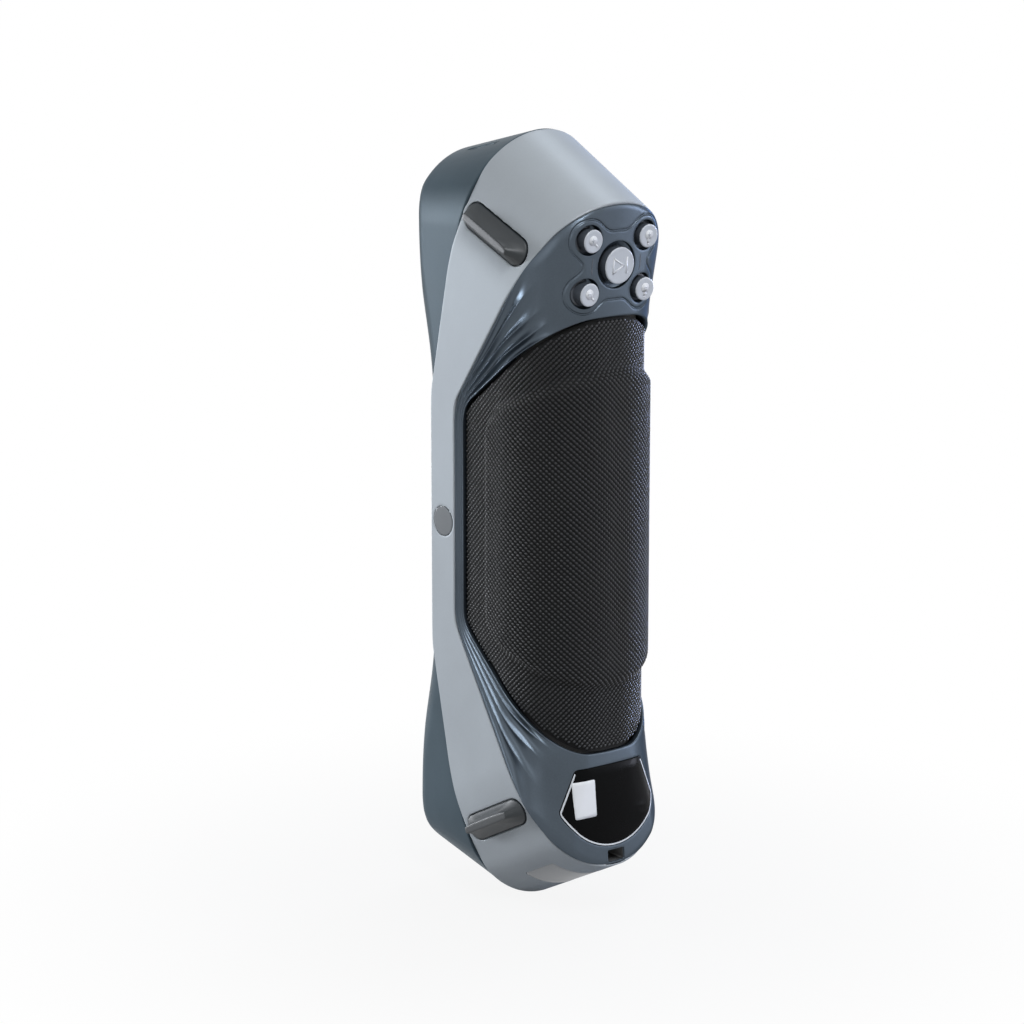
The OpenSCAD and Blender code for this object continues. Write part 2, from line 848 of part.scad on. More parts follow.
module button_board() {
    color([0.08, 0.3, 0.22]) on_panel() translate([0, 0, board_top - board_t]) difference() {
        linear_extrude(board_t) {
            square([34, 11], center = true);
            square([26, 25], center = true);
        }
        for (p = [[14.5, 0], [-14.5, 0], [0, 10.5], [0, -10.5]])
            translate([p[0], p[1], -1]) cylinder(d = 2.2, h = 9);
    }
}

module button_switches() {
    color([0.7, 0.71, 0.72]) on_panel() for (p = concat([[0, 0]], small_places))
        translate([p[0], p[1], board_top]) difference() {
            translate([-3, -3, 0]) cube([6, 6, switch_top - board_top]);
            translate([0, 0, 1.2]) cylinder(d = 3.6, h = 9);
        }
}

// One push button: a cap through the panel, a flange under it and a stem
module push_button(p, d, over, up) {
    color([0.74, 0.75, 0.78]) on_panel() translate([p[0], p[1], 0]) {
        translate([0, 0, button_back - flange_t]) cylinder(d = d, h = up - button_back + flange_t);
        translate([0, 0, button_back - flange_t]) cylinder(d = d + over - 0.6, h = flange_t);
        translate([0, 0, plunger_top]) cylinder(d = 3, h = button_back - plunger_top);
    }
}

module plunger(p) {
    color([0.15, 0.15, 0.16]) on_panel()
        translate([p[0], p[1], -6]) cylinder(d = 3.4, h = plunger_top + 6);
}

module play_button() {
    push_button([0, 0], play_d, 2.6, play_up);
}

module zoom_in_button() {
    push_button(small_places[0], small_d, 2, small_up);
}

module zoom_out_button() {
    push_button(small_places[1], small_d, 2, small_up);
}

module light_up_button() {
    push_button(small_places[2], small_d, 2, small_up);
}

module light_down_button() {
    push_button(small_places[3], small_d, 2, small_up);
}

module play_plunger() {
    plunger([0, 0]);
}

module zoom_in_plunger() {
    plunger(small_places[0]);
}

module zoom_out_plunger() {
    plunger(small_places[1]);
}

module light_up_plunger() {
    plunger(small_places[2]);
}

module light_down_plunger() {
    plunger(small_places[3]);
}

module cable_socket() {
    w = mouth_w / 2;
    h = mouth_h / 2;
    color([0.1, 0.1, 0.1]) difference() {
        block([-w - socket_wall, socket_back, socket_z - h - socket_wall],
            [w + socket_wall, 31.2, socket_z + h + socket_wall]);
        block([-w, socket_back + 1.5, socket_z - h], [w, 40, socket_z + h]);
    }
}

module socket_tongue() {
    color([0.85, 0.7, 0.35])
        block([-2, socket_back + 1.5, socket_z - 0.5], [2, socket_back + 5, socket_z + 0.5]);
}

module socket_board() {
    color([0.08, 0.3, 0.22]) difference() {
        block([-9, socket_back - 1.4, socket_z - 3.2], [9, socket_back, socket_z + 17.1]);
        for (s = [-1, 1]) bar_y(s * 6, socket_screw_z, 0, 40, 2.2);
    }
}

// A flat ribbon through points [y, z], w wide and t thick
module ribbon(points, w, t) {
    n = len(points);
    across(-w / 2, w / 2) polygon(concat(points,
        [for (k = [n - 1:-1:0]) points[k] + [t, 0]]));
}

module button_ribbon() {
    color([0.85, 0.82, 0.7]) ribbon([[6.25, board_l - 9.5], [6.25, board_l - 5.5],
        [12, board_l + 1.5], [16.6, panel_z - 16], [19.4, panel_z - 11.9]], 8, 0.5);
}

module socket_ribbon() {
    color([0.85, 0.82, 0.7]) ribbon([[6.25, 9.5 - board_l], [6.25, 5.5 - board_l],
        [12, -board_l - 3.5], [18, socket_z + 21.1], [18.6, socket_z + 15.1]], 8, 0.5);
}

module camera_ribbons() {
    color([0.85, 0.82, 0.7]) for (s = [0, 1]) mirror([0, 0, s])
        ribbon([[-5.6, camera_z - 10], [-5.6, camera_z - 13], [-2.6, front_boss[1] + 0.4],
            [0.6, front_boss[1] - 4], [0.6, board_l - 2.5]], 7, 0.4);
}

// A screw along +Z from its head's top at 0, with a cross recess
module screw(head_d, head_h, d, l) {
    difference() {
        union() {
            cylinder(d = head_d, h = head_h);
            cylinder(d = d, h = l);
        }
        translate([-head_d * 0.3, -0.3, -1]) cube([head_d * 0.6, 0.6, 1.8]);
        translate([-0.3, -head_d * 0.3, -1]) cube([0.6, head_d * 0.6, 1.8]);
    }
}

module pad_screws() {
    color([0.3, 0.3, 0.32]) for (sx = [-1, 1], sz = [-1, 1]) pad_place(sx, sz)
        translate([pad_floor, 0, 0]) rotate([0, -90, 0]) screw(5.4, 1.6, screw_d, 8.5);
}

module cap_screws() {
    color([0.3, 0.3, 0.32]) for (sx = [0, 1]) mirror([sx, 0, 0])
        translate([half_w - cap_t - 0.2, cap_y, 0]) rotate([0, -90, 0])
            screw(5.8, 1.7, screw_d, 9);
}

module rear_screws() {
    color([0.3, 0.3, 0.32]) corners(rear_boss)
        translate([0, spine_front - 1.6, 0]) rotate([-90, 0, 0]) screw(5.4, 1.6, screw_d, 14);
}

module front_screws() {
    color([0.3, 0.3, 0.32]) corners(front_boss)
        translate([0, spine_back + 1.6, 0]) rotate([90, 0, 0]) screw(5.4, 1.6, screw_d, 14);
}

module board_screws() {
    color([0.3, 0.3, 0.32]) board_places()
        translate([0, 4.4, 0]) rotate([90, 0, 0]) screw(4, 1.3, 1.9, 6);
}

module button_board_screws() {
    color([0.3, 0.3, 0.32]) on_panel()
        for (p = [[14.5, 0], [-14.5, 0], [0, 10.5], [0, -10.5]])
            translate([p[0], p[1], board_top - board_t - 1.1]) screw(3.6, 1.1, 1.8, 4.8);
}

module socket_screws() {
    color([0.3, 0.3, 0.32]) for (s = [-1, 1])
        translate([s * 6, socket_back - 2.5, socket_screw_z]) rotate([-90, 0, 0])
            screw(3.6, 1.1, 1.8, 6);
}

side_band();
front_shell();
front_glass();
rear_shell();
grip_pad();
label_plate();
end_plate();
upper_left_pad();
upper_right_pad();
lower_left_pad();
lower_right_pad();
left_cap();
right_cap();
chassis();
upper_camera_board();
lower_camera_board();
upper_camera_holder();
lower_camera_holder();
upper_camera_barrel();
lower_camera_barrel();
upper_camera_lens();
lower_camera_lens();
upper_light_ring();
lower_light_ring();
projector_housing();
projector_barrel();
projector_lens();
laser_module();
laser_lens();
colour_camera_board();
colour_camera_barrel();
colour_camera_lens();
main_board();
board_chips();
heat_sink();
button_board();
button_switches();
play_button();
zoom_in_button();
zoom_out_button();
light_up_button();
light_down_button();
play_plunger();
zoom_in_plunger();
zoom_out_plunger();
light_up_plunger();
light_down_plunger();
cable_socket();
socket_tongue();
socket_board();
button_ribbon();
socket_ribbon();
camera_ribbons();
pad_screws();
cap_screws();
rear_screws();
front_screws();
board_screws();
button_board_screws();
socket_screws();
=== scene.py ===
import json
import math

import bpy
import numpy as np
from mathutils import Matrix, Vector

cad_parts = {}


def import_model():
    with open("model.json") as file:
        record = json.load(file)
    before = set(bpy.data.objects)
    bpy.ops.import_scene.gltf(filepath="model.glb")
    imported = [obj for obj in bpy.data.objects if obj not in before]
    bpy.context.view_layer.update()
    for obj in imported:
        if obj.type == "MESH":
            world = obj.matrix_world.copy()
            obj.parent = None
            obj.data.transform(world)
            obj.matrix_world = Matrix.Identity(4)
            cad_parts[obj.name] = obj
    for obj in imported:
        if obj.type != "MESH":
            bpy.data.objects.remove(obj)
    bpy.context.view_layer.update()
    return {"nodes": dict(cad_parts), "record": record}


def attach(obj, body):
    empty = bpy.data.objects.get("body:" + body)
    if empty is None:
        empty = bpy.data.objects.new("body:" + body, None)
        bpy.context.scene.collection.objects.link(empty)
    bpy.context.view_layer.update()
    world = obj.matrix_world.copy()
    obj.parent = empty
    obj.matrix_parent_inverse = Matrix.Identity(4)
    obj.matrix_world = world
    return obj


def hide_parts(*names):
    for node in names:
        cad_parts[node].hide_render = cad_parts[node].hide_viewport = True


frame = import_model()

# Sizes in millimetres, as in the part: +Z up, the grip and the buttons to +Y, the glass to -Y
MM = 0.001  # a millimetre in metres
ROOT = "housing"  # the body that every fixed piece rides on
HALF_W = 22.5  # half the width over the silver plates, mm from here on
HALF_L = 106.5  # half the length
FRONT_D = 32.1  # depth in front of the middle
END_LEAN = math.radians(28)  # lean of the upper silver end
LOW_LEAN = math.radians(26.5)  # lean of the lower silver end
END_R = 20.6  # how far the ends round into the sides
NOSE_LEAN = math.radians(13)  # lean of the front shell's ends
NOSE_R = 22.0  # its rounding
FLANK = math.radians(25)  # lean of the flanks
PANEL_LEAN = math.radians(5.7)  # lean of the button panel
PANEL_Y = 30.0  # the panel's middle, from front to back
PANEL_Z = 73.1  # and its height
WAIST_UP = 33.2  # upper end of the straight waist
WAIST_LOW = 27.6  # lower end of it
GRIP_Y = -6.9  # the grip's front edge
GRIP_BACK = 28.5  # the grip's back
GRIP_W = 21.5  # half the grip's width
GRIP_R = 19.5  # the grip's rounding
GRIP_RISE = 1.8  # how far the raised back of the grip stands out
SEAM_GAP = 0.1  # gap along the seams
LIP = 0.4  # rounding of their edges
WALL = 1.8  # wall of the shells
NOSE_C = 0.1 * math.sin(NOSE_LEAN) + HALF_L * math.cos(NOSE_LEAN) - NOSE_R
PANEL_BACK = PANEL_Y * math.cos(PANEL_LEAN) - PANEL_Z * math.sin(PANEL_LEAN)
SMALL_PLACES = {"zoom_in": (9.5, -7.1), "zoom_out": (9.5, 7.1),
                "light_up": (-9.5, -7.1), "light_down": (-9.5, 7.1)}


# The bodies, as signed distances in millimetres that are negative inside

def ramp(low, high, value):
    """0 below low and 1 above high, with a smooth change between them."""
    t = np.clip((value - low) / (high - low), 0, 1)
    return t * t * (3 - 2 * t)


def both(a, b, radius):
    """The part inside a and b, with its edge rounded."""
    corner = np.hypot(np.maximum(a + radius, 0), np.maximum(b + radius, 0))
    return np.minimum(-radius, np.maximum(a, b)) + corner


def round_end(x, up, radius):
    """A round end with straight flanks that lean in from the sides. up is measured from its centre."""
    flank = np.abs(x) * math.cos(FLANK) + up * math.sin(FLANK) - radius
    return np.where(up > np.abs(x) * math.tan(FLANK), np.hypot(x, up) - radius, flank)


def silver_end(x, y, z):
    lean = np.where(z > 0, END_LEAN, LOW_LEAN)
    up = (y + 0.1) * np.sin(lean) + (np.abs(z) - HALF_L) * np.cos(lean)
    return round_end(x, up + END_R, END_R)


def silver_body(p):
    x, y, z = p.T
    return both(np.abs(x) - HALF_W, silver_end(x, y, z), 6.0)


def rear_body(p):
    x, y, z = p.T
    back = y * math.cos(PANEL_LEAN) - np.abs(z) * math.sin(PANEL_LEAN)
    radius = 18.0 - 3.0 * ramp(58, 82, np.abs(z)) - 2.0 * ramp(70, 86, -z)
    across = np.abs(x) - (HALF_W - radius)
    deep = back - (PANEL_BACK - radius)
    box = np.hypot(np.maximum(across, 0), np.maximum(deep, 0)) - radius
    box = box + np.minimum(np.maximum(across, deep), 0)
    crown = np.hypot(x, back - PANEL_BACK + 110) - 110
    return both(np.maximum(box, crown), silver_end(x, y, z), 1.4)


def front_body(p):
    x, y, z = p.T
    side = np.abs(x) - HALF_W
    e = -y * math.sin(NOSE_LEAN) + np.abs(z) * math.cos(NOSE_LEAN)
    nose = round_end(x, e - NOSE_C, NOSE_R)
    taper = (side * 22.9 - (y + 7) * 2.9) / 23.083
    edge = ((np.abs(x) - 19.6) * 2.2 - (y + 29.9) * 2.0) / 2.973
    face = -y - FRONT_D
    slant = (np.abs(x) - y) / math.sqrt(2) - 30.83 - 6.03 * ramp(33, 84, np.abs(z))
    shell = both(both(side, taper, 3.0), both(edge, face, 1.2), 1.2)
    return both(both(shell, slant, 2.5), nose, 3.0)


def cast(body, start, way, reach=90.0):
    """Where straight lines from inside a body, or from above it against way, cross its surface."""
    low = np.zeros(len(start))
    high = np.full(len(start), reach)
    for _ in range(34):
        middle = (low + high) / 2
        inside = body(start + way * middle[:, None]) < 0
        low = np.where(inside, middle, low)
        high = np.where(inside, high, middle)
    return start + way * low[:, None]


def unit(v):
    return v / np.maximum(np.linalg.norm(v, axis=-1, keepdims=True), 1e-9)


# Seams, as lines in the side view, matched point for point

def soft_line(corners, steps=60, soften=9):
    """Corners (y, z) joined by straight runs of the same number of points, softened at each corner."""
    runs = [np.linspace(a, b, steps, endpoint=False) for a, b in zip(corners[:-1], corners[1:])]
    line = np.vstack(runs + [np.array(corners[-1:])])
    kernel = np.ones(2 * soften + 1) / (2 * soften + 1)
    padded = np.vstack([2 * line[0] - line[soften:0:-1], line, 2 * line[-1] - line[-2:-soften - 2:-1]])
    return np.stack([np.convolve(padded[:, k], kernel, "valid") for k in (0, 1)], axis=1)


def front_seam(sign, waist):
    return soft_line([(-21.1, 0), (-21.1, sign * 35), (-18.7, sign * 46), (-13.2, sign * 71),
                      (-0.1, sign * 106.5), (7.0, sign * 125)])


def seam_tip(sign):
    return sign * (90.0 if sign > 0 else 91.1)


def rear_seam(sign, waist):
    return soft_line([(-10.7, 0), (-10.7, sign * waist), (-2.7, sign * (waist + (68.4 - waist) * 0.3125)),
                      (14.9, sign * 68.4), (31.9, seam_tip(sign)), (48.0, sign * 110.5)])


def shell_seam(sign, waist):
    return soft_line([(-10.7, 0), (-10.7, sign * waist), (14.9, sign * 68.4), (31.9, seam_tip(sign)),
                      (48.0, sign * 110.5)])


def grip_seam(sign, waist):
    slope = (59.4 - waist + 0.5) / 35.9
    z0 = waist - 0.5
    return soft_line([(-6.9, 0), (-6.9, sign * z0), (14.9, sign * (z0 + 21.8 * slope)),
                      (29.0, sign * 59.4), (44.0, sign * (59.4 + 15 * slope))])


def ring_row(body, line, turn_at, plate, fan):
    """One closed half of a ring round an end: up the right plate, over the end, down the left plate.
    line is the sheet's side view, and the sweep over the end starts at its point number turn_at."""
    steps = np.r_[0, np.cumsum(np.hypot(*np.diff(line, axis=0).T))]
    at = np.interp(turn_at, np.arange(len(line)), steps)
    s0 = np.r_[at * np.array(plate), np.full(len(fan), at), at * np.array(plate)[::-1]]
    angle = np.r_[np.zeros(len(plate)), fan, np.full(len(plate), math.pi)]
    low = np.zeros(len(angle))
    high = np.full(len(angle), 80.0)

    def place(r):
        s = s0 + r * np.sin(angle)
        return np.stack([r * np.cos(angle), np.interp(s, steps, line[:, 0]),
                         np.interp(s, steps, line[:, 1])], axis=1)

    for _ in range(34):
        middle = (low + high) / 2
        inside = body(place(middle)) < 0
        low = np.where(inside, middle, low)
        high = np.where(inside, high, middle)
    return place(low)


def whole_ring(body, inner, outer, share, turn_at, plates, fan):
    """A closed ring round the whole scanner at one share of the way from the inner to the outer seam."""
    rows = []
    for sign, waist in ((1, WAIST_UP), (-1, WAIST_LOW)):
        line = (1 - share) * inner(sign, waist) + share * outer(sign, waist)
        row = ring_row(body, line, turn_at, plates, fan)
        rows.append(row if sign > 0 else row[::-1])
    return np.vstack([rows[0], rows[1][1:-1]])


# Meshes

def grid_faces(rows, columns, wrap_rows=False, wrap_columns=True):
    r = np.arange(rows if wrap_rows else rows - 1)
    c = np.arange(columns if wrap_columns else columns - 1)
    i, j = np.meshgrid(r, c, indexing="ij")
    i2 = (i + 1) % rows
    j2 = (j + 1) % columns
    faces = np.stack([i * columns + j, i * columns + j2, i2 * columns + j2, i2 * columns + j], axis=-1)
    return faces.reshape(-1, 4)


def facing_out(points, faces):
    """The faces of a closed mesh, turned so that they face out."""
    p = np.asarray(points, float).reshape(-1, 3)
    q = p[np.array([f[:3] for f in faces])]
    volume = np.einsum("ij,ij->i", q[:, 0], np.cross(q[:, 1], q[:, 2])).sum()
    four = np.array([f for f in faces if len(f) == 4])
    if len(four):
        q = p[four[:, [0, 2, 3]]]
        volume += np.einsum("ij,ij->i", q[:, 0], np.cross(q[:, 1], q[:, 2])).sum()
    return faces if volume > 0 else [list(f)[::-1] for f in faces]


def make(name, points, faces, material, body=ROOT, slot=None, stands_for=()):
    """A smooth mesh piece that rides on a body."""
    points = np.asarray(points, float).reshape(-1, 3)
    mesh = bpy.data.meshes.new(name)
    mesh.from_pydata((points * MM).tolist(), [], [list(map(int, f)) for f in faces])
    mesh.update()
    mesh.shade_smooth()
    for held in (material if isinstance(material, tuple) else (material,)):
        mesh.materials.append(held)
    piece = bpy.data.objects.new(name, mesh)
    bpy.context.scene.collection.objects.link(piece)
    if stands_for:
        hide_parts(*stands_for)
    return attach(piece, body)


def join(parts):
    """Several (points, faces) as one."""
    points, faces, start = [], [], 0
    for p, f in parts:
        p = np.asarray(p, float).reshape(-1, 3)
        points.append(p)
        faces += [[int(k) + start for k in face] for face in f]
        start += len(p)
    return np.vstack(points), faces


def normal_of(body, points, step=0.02):
    grad = [body(points + step * axis) - body(points - step * axis) for axis in np.eye(3)]
    return unit(np.stack(grad, axis=1))


# The shells

FAN = np.linspace(0, math.pi, 241)
PLATES = np.linspace(0, 1, 45)[:-1]
REAR_FAN = np.linspace(0, math.pi, 261)


def rings_between(body, inner, outer, shares, turn_at, fan):
    return [whole_ring(body, inner, outer, s, turn_at, PLATES, fan) for s in shares]


def column_rows(rings, gap, count):
    """Rows spread evenly along each column, from gap off the first ring to gap off the last."""
    rings = np.array(rings)
    length = np.cumsum(np.linalg.norm(np.diff(rings, axis=0), axis=2), axis=0)
    length = np.vstack([np.zeros((1, rings.shape[1])), length])
    total = length[-1]
    share = gap / total + (1 - 2 * gap / total) * np.linspace(0, 1, count)[:, None]
    out = np.zeros((count, rings.shape[1], 3))
    for c in range(rings.shape[1]):
        for k in range(3):
            out[:, c, k] = np.interp(share[:, c] * total[c], length[:, c], rings[:, c, k])
    return out, share


def lip(body, edge, inwards):
    """A rounded edge that turns in, from the surface to WALL deep."""
    out = normal_of(body, edge)
    inwards = unit(inwards - out * (inwards * out).sum(1)[:, None])
    turned = []
    for k in range(1, 5):
        a = math.pi / 2 * k / 4
        turned.append(edge + inwards * LIP * (1 - math.sin(a)) - out * LIP * (1 - math.cos(a)))
    return turned + [edge - out * WALL]


def shell(body, rings, count, deep, sink=None):
    """A closed shell over the rings: the outside with rounded lips at both seams, and the inner face."""
    way_a = unit(rings[1] - rings[0])
    way_b = unit(rings[-2] - rings[-1])
    edge_a = rings[0] + way_a * SEAM_GAP
    edge_b = rings[-1] + way_b * SEAM_GAP
    rows, share = column_rows(rings, SEAM_GAP + LIP, count)
    if sink is not None:
        flat = rows.reshape(-1, 3)
        depth = sink(rows, share).reshape(-1, 1)
        rows = (flat - normal_of(body, flat) * depth).reshape(rows.shape)
    lip_a = lip(body, edge_a, way_a)
    lip_b = lip(body, edge_b, way_b)
    whole = np.array(lip_a[::-1] + list(rows) + lip_b + list(deep)[::-1])
    faces = np.array(facing_out(whole, grid_faces(len(whole), whole.shape[1], True, True)))
    outer = (np.arange(len(faces)) // whole.shape[1] >= 5)
    outer &= (np.arange(len(faces)) // whole.shape[1] < 4 + count)
    return whole.reshape(-1, 3), faces, outer


def flutes(p, share):
    """How deep the four flutes that fan out from each waist corner are cut."""
    y = p[:, :, 1]
    up = p[:, :, 2] > 0
    bend = ramp(5, 22, y)
    crests = [np.ones_like(y),
              np.where(up, 0.72, 0.72 - 0.12 * bend),
              np.where(up, 0.48 - 0.10 * bend, 0.48 - 0.18 * bend),
              np.where(up, 0.24 - 0.07 * bend, 0.24 - 0.14 * bend),
              np.zeros_like(y)]
    depth = np.zeros_like(y)
    for k, tip in enumerate((19.5, 21.5, 23.0, 24.0)):
        t = (share - crests[k + 1]) / (crests[k] - crests[k + 1])
        bowl = np.where((t > 0) & (t < 1), 4 * t * (1 - t), 0)
        depth += bowl * (0.42 + 0.9 * ramp(-9, 6, y)) * (1 - ramp(tip - 7.5, tip + 1.5, y))
    return depth


def front_outline(x, z):
    """The recess of the front glass: wide round ends and a narrow waist."""
    up = np.abs(z)
    half = 9.4 + 7.2 * np.clip((up - 37) / 33, 0, 1)
    return np.where(up > 78.1, np.hypot(x, up - 78.1) - 16.6, np.abs(x) - half)


def front_rings(count):
    seam = whole_ring(front_body, front_seam, front_seam, 0.0, 153, PLATES, FAN)
    z0 = np.clip(seam[:, 2], -60, 60)
    way = unit(np.stack([seam[:, 0], seam[:, 2] - z0], axis=1))
    low, high = np.zeros(len(seam)), np.full(len(seam), 60.0)
    for _ in range(30):
        middle = (low + high) / 2
        inside = front_outline(way[:, 0] * middle, z0 + way[:, 1] * middle) < 0
        low, high = np.where(inside, middle, low), np.where(inside, high, middle)
    rim = np.stack([way[:, 0] * low, np.full(len(seam), -FRONT_D), z0 + way[:, 1] * low], axis=1)
    centre = np.stack([np.zeros(len(seam)), np.full(len(seam), -14.0), z0], axis=1)
    rings = [seam]
    for t in np.linspace(0, 1, count)[1:]:
        aim = unit(unit(seam - centre) * (1 - t) + unit(rim - centre) * t)
        rings.append(cast(front_body, centre, aim))
    return rings


# Recesses and trims that lie in a surface

def frame_at(origin, across, up):
    a, b = unit(np.array(across, float)), unit(np.array(up, float))
    return np.array(origin, float), a, b, np.cross(a, b)


def place(at, u, v, h):
    o, a, b, n = at
    return o + np.outer(u, a) + np.outer(v, b) + np.outer(h, n)


def trace(shape, grow, count):
    """The outline of a flat shape grown by grow, seen from its middle."""
    angle = np.linspace(0, 2 * math.pi, count, endpoint=False)
    low, high = np.zeros(count), np.full(count, 60.0)
    for _ in range(30):
        r = (low + high) / 2
        inside = shape(r * np.cos(angle), r * np.sin(angle)) < grow
        low, high = np.where(inside, r, low), np.where(inside, high, r)
    return low * np.cos(angle), low * np.sin(angle)


def on_surface(body, at, u, v, h):
    """Points at (u, v) of a frame, h above the body's surface."""
    start = place(at, u, v, np.full(len(u), -12.0))
    way = np.tile(at[3], (len(u), 1))
    return cast(body, start, way, 40.0) + way * np.reshape(h, (-1, 1))


def laid(body, at, shape, rings, count=96, fill=True, shift=(0, 0)):
    """A sheet that follows the surface, through rings of (grow, height)."""
    points = []
    steps = [(grow, height, 1.0) for grow, height in rings]
    if fill:
        steps += [(*rings[-1], scale) for scale in (0.8, 0.6, 0.4, 0.2)]
    for grow, height, scale in steps:
        u, v = trace(shape, grow, count)
        points.append(on_surface(body, at, u * scale + shift[0], v * scale + shift[1],
                                 np.full(count, height)))
    faces = [list(f) for f in grid_faces(len(steps), count)]
    points = np.vstack(points)
    if fill:
        last = (len(steps) - 1) * count
        hub = on_surface(body, at, np.array([shift[0]]), np.array([shift[1]]), [rings[-1][1]])
        points = np.vstack([points, hub])
        faces += [[last + k, last + (k + 1) % count, len(points) - 1] for k in range(count)]
    first = faces[0]
    normal = np.cross(points[first[1]] - points[first[0]], points[first[2]] - points[first[1]])
    if normal @ at[3] < 0:
        faces = [f[::-1] for f in faces]
    return points, faces


def circle(radius):
    return lambda u, v: np.hypot(u, v) - radius


def slot_shape(length, width):
    half = length / 2 - width / 2
    return lambda u, v: np.hypot(np.maximum(np.abs(u) - half, 0), v) - width / 2


def round_box(w, h, r):
    def shape(u, v):
        a, b = np.abs(u) - w / 2 + r, np.abs(v) - h / 2 + r
        return np.hypot(np.maximum(a, 0), np.maximum(b, 0)) + np.minimum(np.maximum(a, b), 0) - r
    return shape


def clover(u, v):
    shape = np.hypot(u * 0.9, v) - 9.2
    for x, y in SMALL_PLACES.values():
        shape = -both(-shape, -(np.hypot(u - x, v - y) - 5.5), 3.0)
    return shape


def label_shape(u, v):
    """The label plate's outline, in a frame at its middle, with v up."""
    side = (np.abs(u) - 11.6) * 0.914 + (v - 13.0) * 0.406
    bowl = np.hypot(u, v - 8.3) - 17.9
    return both(both(side, np.abs(u) - 16.9, 0.8), both(v - 13.0, bowl, 0.8), 0.8)


def recess(depth, lip=0.35, flange=0.8, floor=0.0):
    """Rings of a recess with a rounded edge: a flange on the surface, the edge, the wall and the floor."""
    rings = [(flange, 0.015), (lip, 0.015)]
    for k in range(1, 5):
        a = math.pi / 2 * k / 4
        rings.append((lip * (1 - math.sin(a)), 0.015 - lip * (1 - math.cos(a))))
    rings += [(0.0, -depth + 0.1), (-0.1, -depth)]
    return rings + ([(-floor, -depth)] if floor else [])


def without(points, faces, outer, cuts, through=()):
    """The faces that are left where cuts (frame, shape, shift, lowest, highest) open the outside.
    The cuts in through go through the inner face and the lips too."""
    centres = points[np.array(faces)].mean(axis=1)
    gone = np.zeros(len(faces), bool)
    both_kinds = [(outer, *cut) for cut in cuts] + [(True, *cut) for cut in through]
    for layer, at, shape, shift, low, high in both_kinds:
        o, a, b, n = at
        u = (centres - o) @ a - shift[0]
        v = (centres - o) @ b - shift[1]
        value = shape(u, v)
        gone |= layer & (value < high) & (value > low) & (np.abs((centres - o) @ n) < 9)
    return [list(map(int, f)) for f in np.array(faces)[~gone]]


PANEL = frame_at((0, PANEL_Y, PANEL_Z), (1, 0, 0),
                 (0, -math.sin(PANEL_LEAN), -math.cos(PANEL_LEAN)))
PANEL = (PANEL[0], PANEL[1], PANEL[2], np.array([0, math.cos(PANEL_LEAN), -math.sin(PANEL_LEAN)]))
LABEL = frame_at((0, 30.2, -75.6), (-1, 0, 0), (0, -math.sin(PANEL_LEAN), math.cos(PANEL_LEAN)))
SOCKET = frame_at((0, 31.4, -87.85), (-1, 0, 0), (0, 0, 1))
MOUTH = round_box(5.8, 3.3, 0.35)


# The pieces that stand for CAD nodes

def side_frames():
    """The name of each side pad's node, with the signs that turn its mesh over to its side and pick its end.
    """
    return {"upper_right_pad": (1, 1), "upper_left_pad": (-1, 1),
            "lower_right_pad": (1, -1), "lower_left_pad": (-1, -1)}


def pad_frame(y, z, lean, sz):
    """The frame of a side pad on the right plate. sz is 1 for the upper end and -1 for the lower."""
    a = math.radians(lean)
    s = np.array([1, 1, sz])
    at = frame_at((22.5, y, z), (0, math.cos(a), -math.sin(a)), (0, math.sin(a), math.cos(a)))
    return at[0] * s, at[1] * s, at[2] * s, at[3]


PADS = {1: pad_frame(5.3, 80.4, 24.0, 1), -1: pad_frame(5.5, 80.2, 26.8, -1)}
INSIDE = -99.0  # below any signed distance: a cut that takes all that its outline holds
PAD_HIGH = 2.1  # how far a side pad stands out of the plate
POCKET_DEEP = 2.2  # depth of its pocket
CAP_R = 4.2  # radius of a round cap
CAP_SEAT = 1.25  # depth of its seat
SOCKET_DEEP = 9.4  # depth of the cable socket
SOCKET_WALL = 0.5  # its wall
PLATE_W = 27.3  # the grey plate on the lower end
PLATE_H = 13.6
PAD_L = 25.9  # length of a side pad
PAD_W = 7.1  # and its width
CAP = frame_at((22.5, -15.6, 0), (0, 1, 0), (0, 0, 1))
PLATE = frame_at((0, 17.25, -97.2), (-1, 0, 0), (0, math.cos(END_LEAN), math.sin(END_LEAN)))
# Each button as its place across and down the panel, its diameter and how far it stands up
BUTTONS = {"play": (0.0, 0.0, 9.8, 1.3)}
BUTTONS.update({name: (*place, 6.2, 1.15) for name, place in SMALL_PLACES.items()})


def mirrored(points, faces, sx, sz):
    """A mesh turned over to the other side or the other end."""
    points = points * np.array([sx, 1, sz])
    return points, ([f[::-1] for f in faces] if sx * sz < 0 else faces)


def turned_frame(at, sx, sz):
    s = np.array([sx, 1, sz])
    return at[0] * s, at[1] * s, at[2] * s, at[3] * s


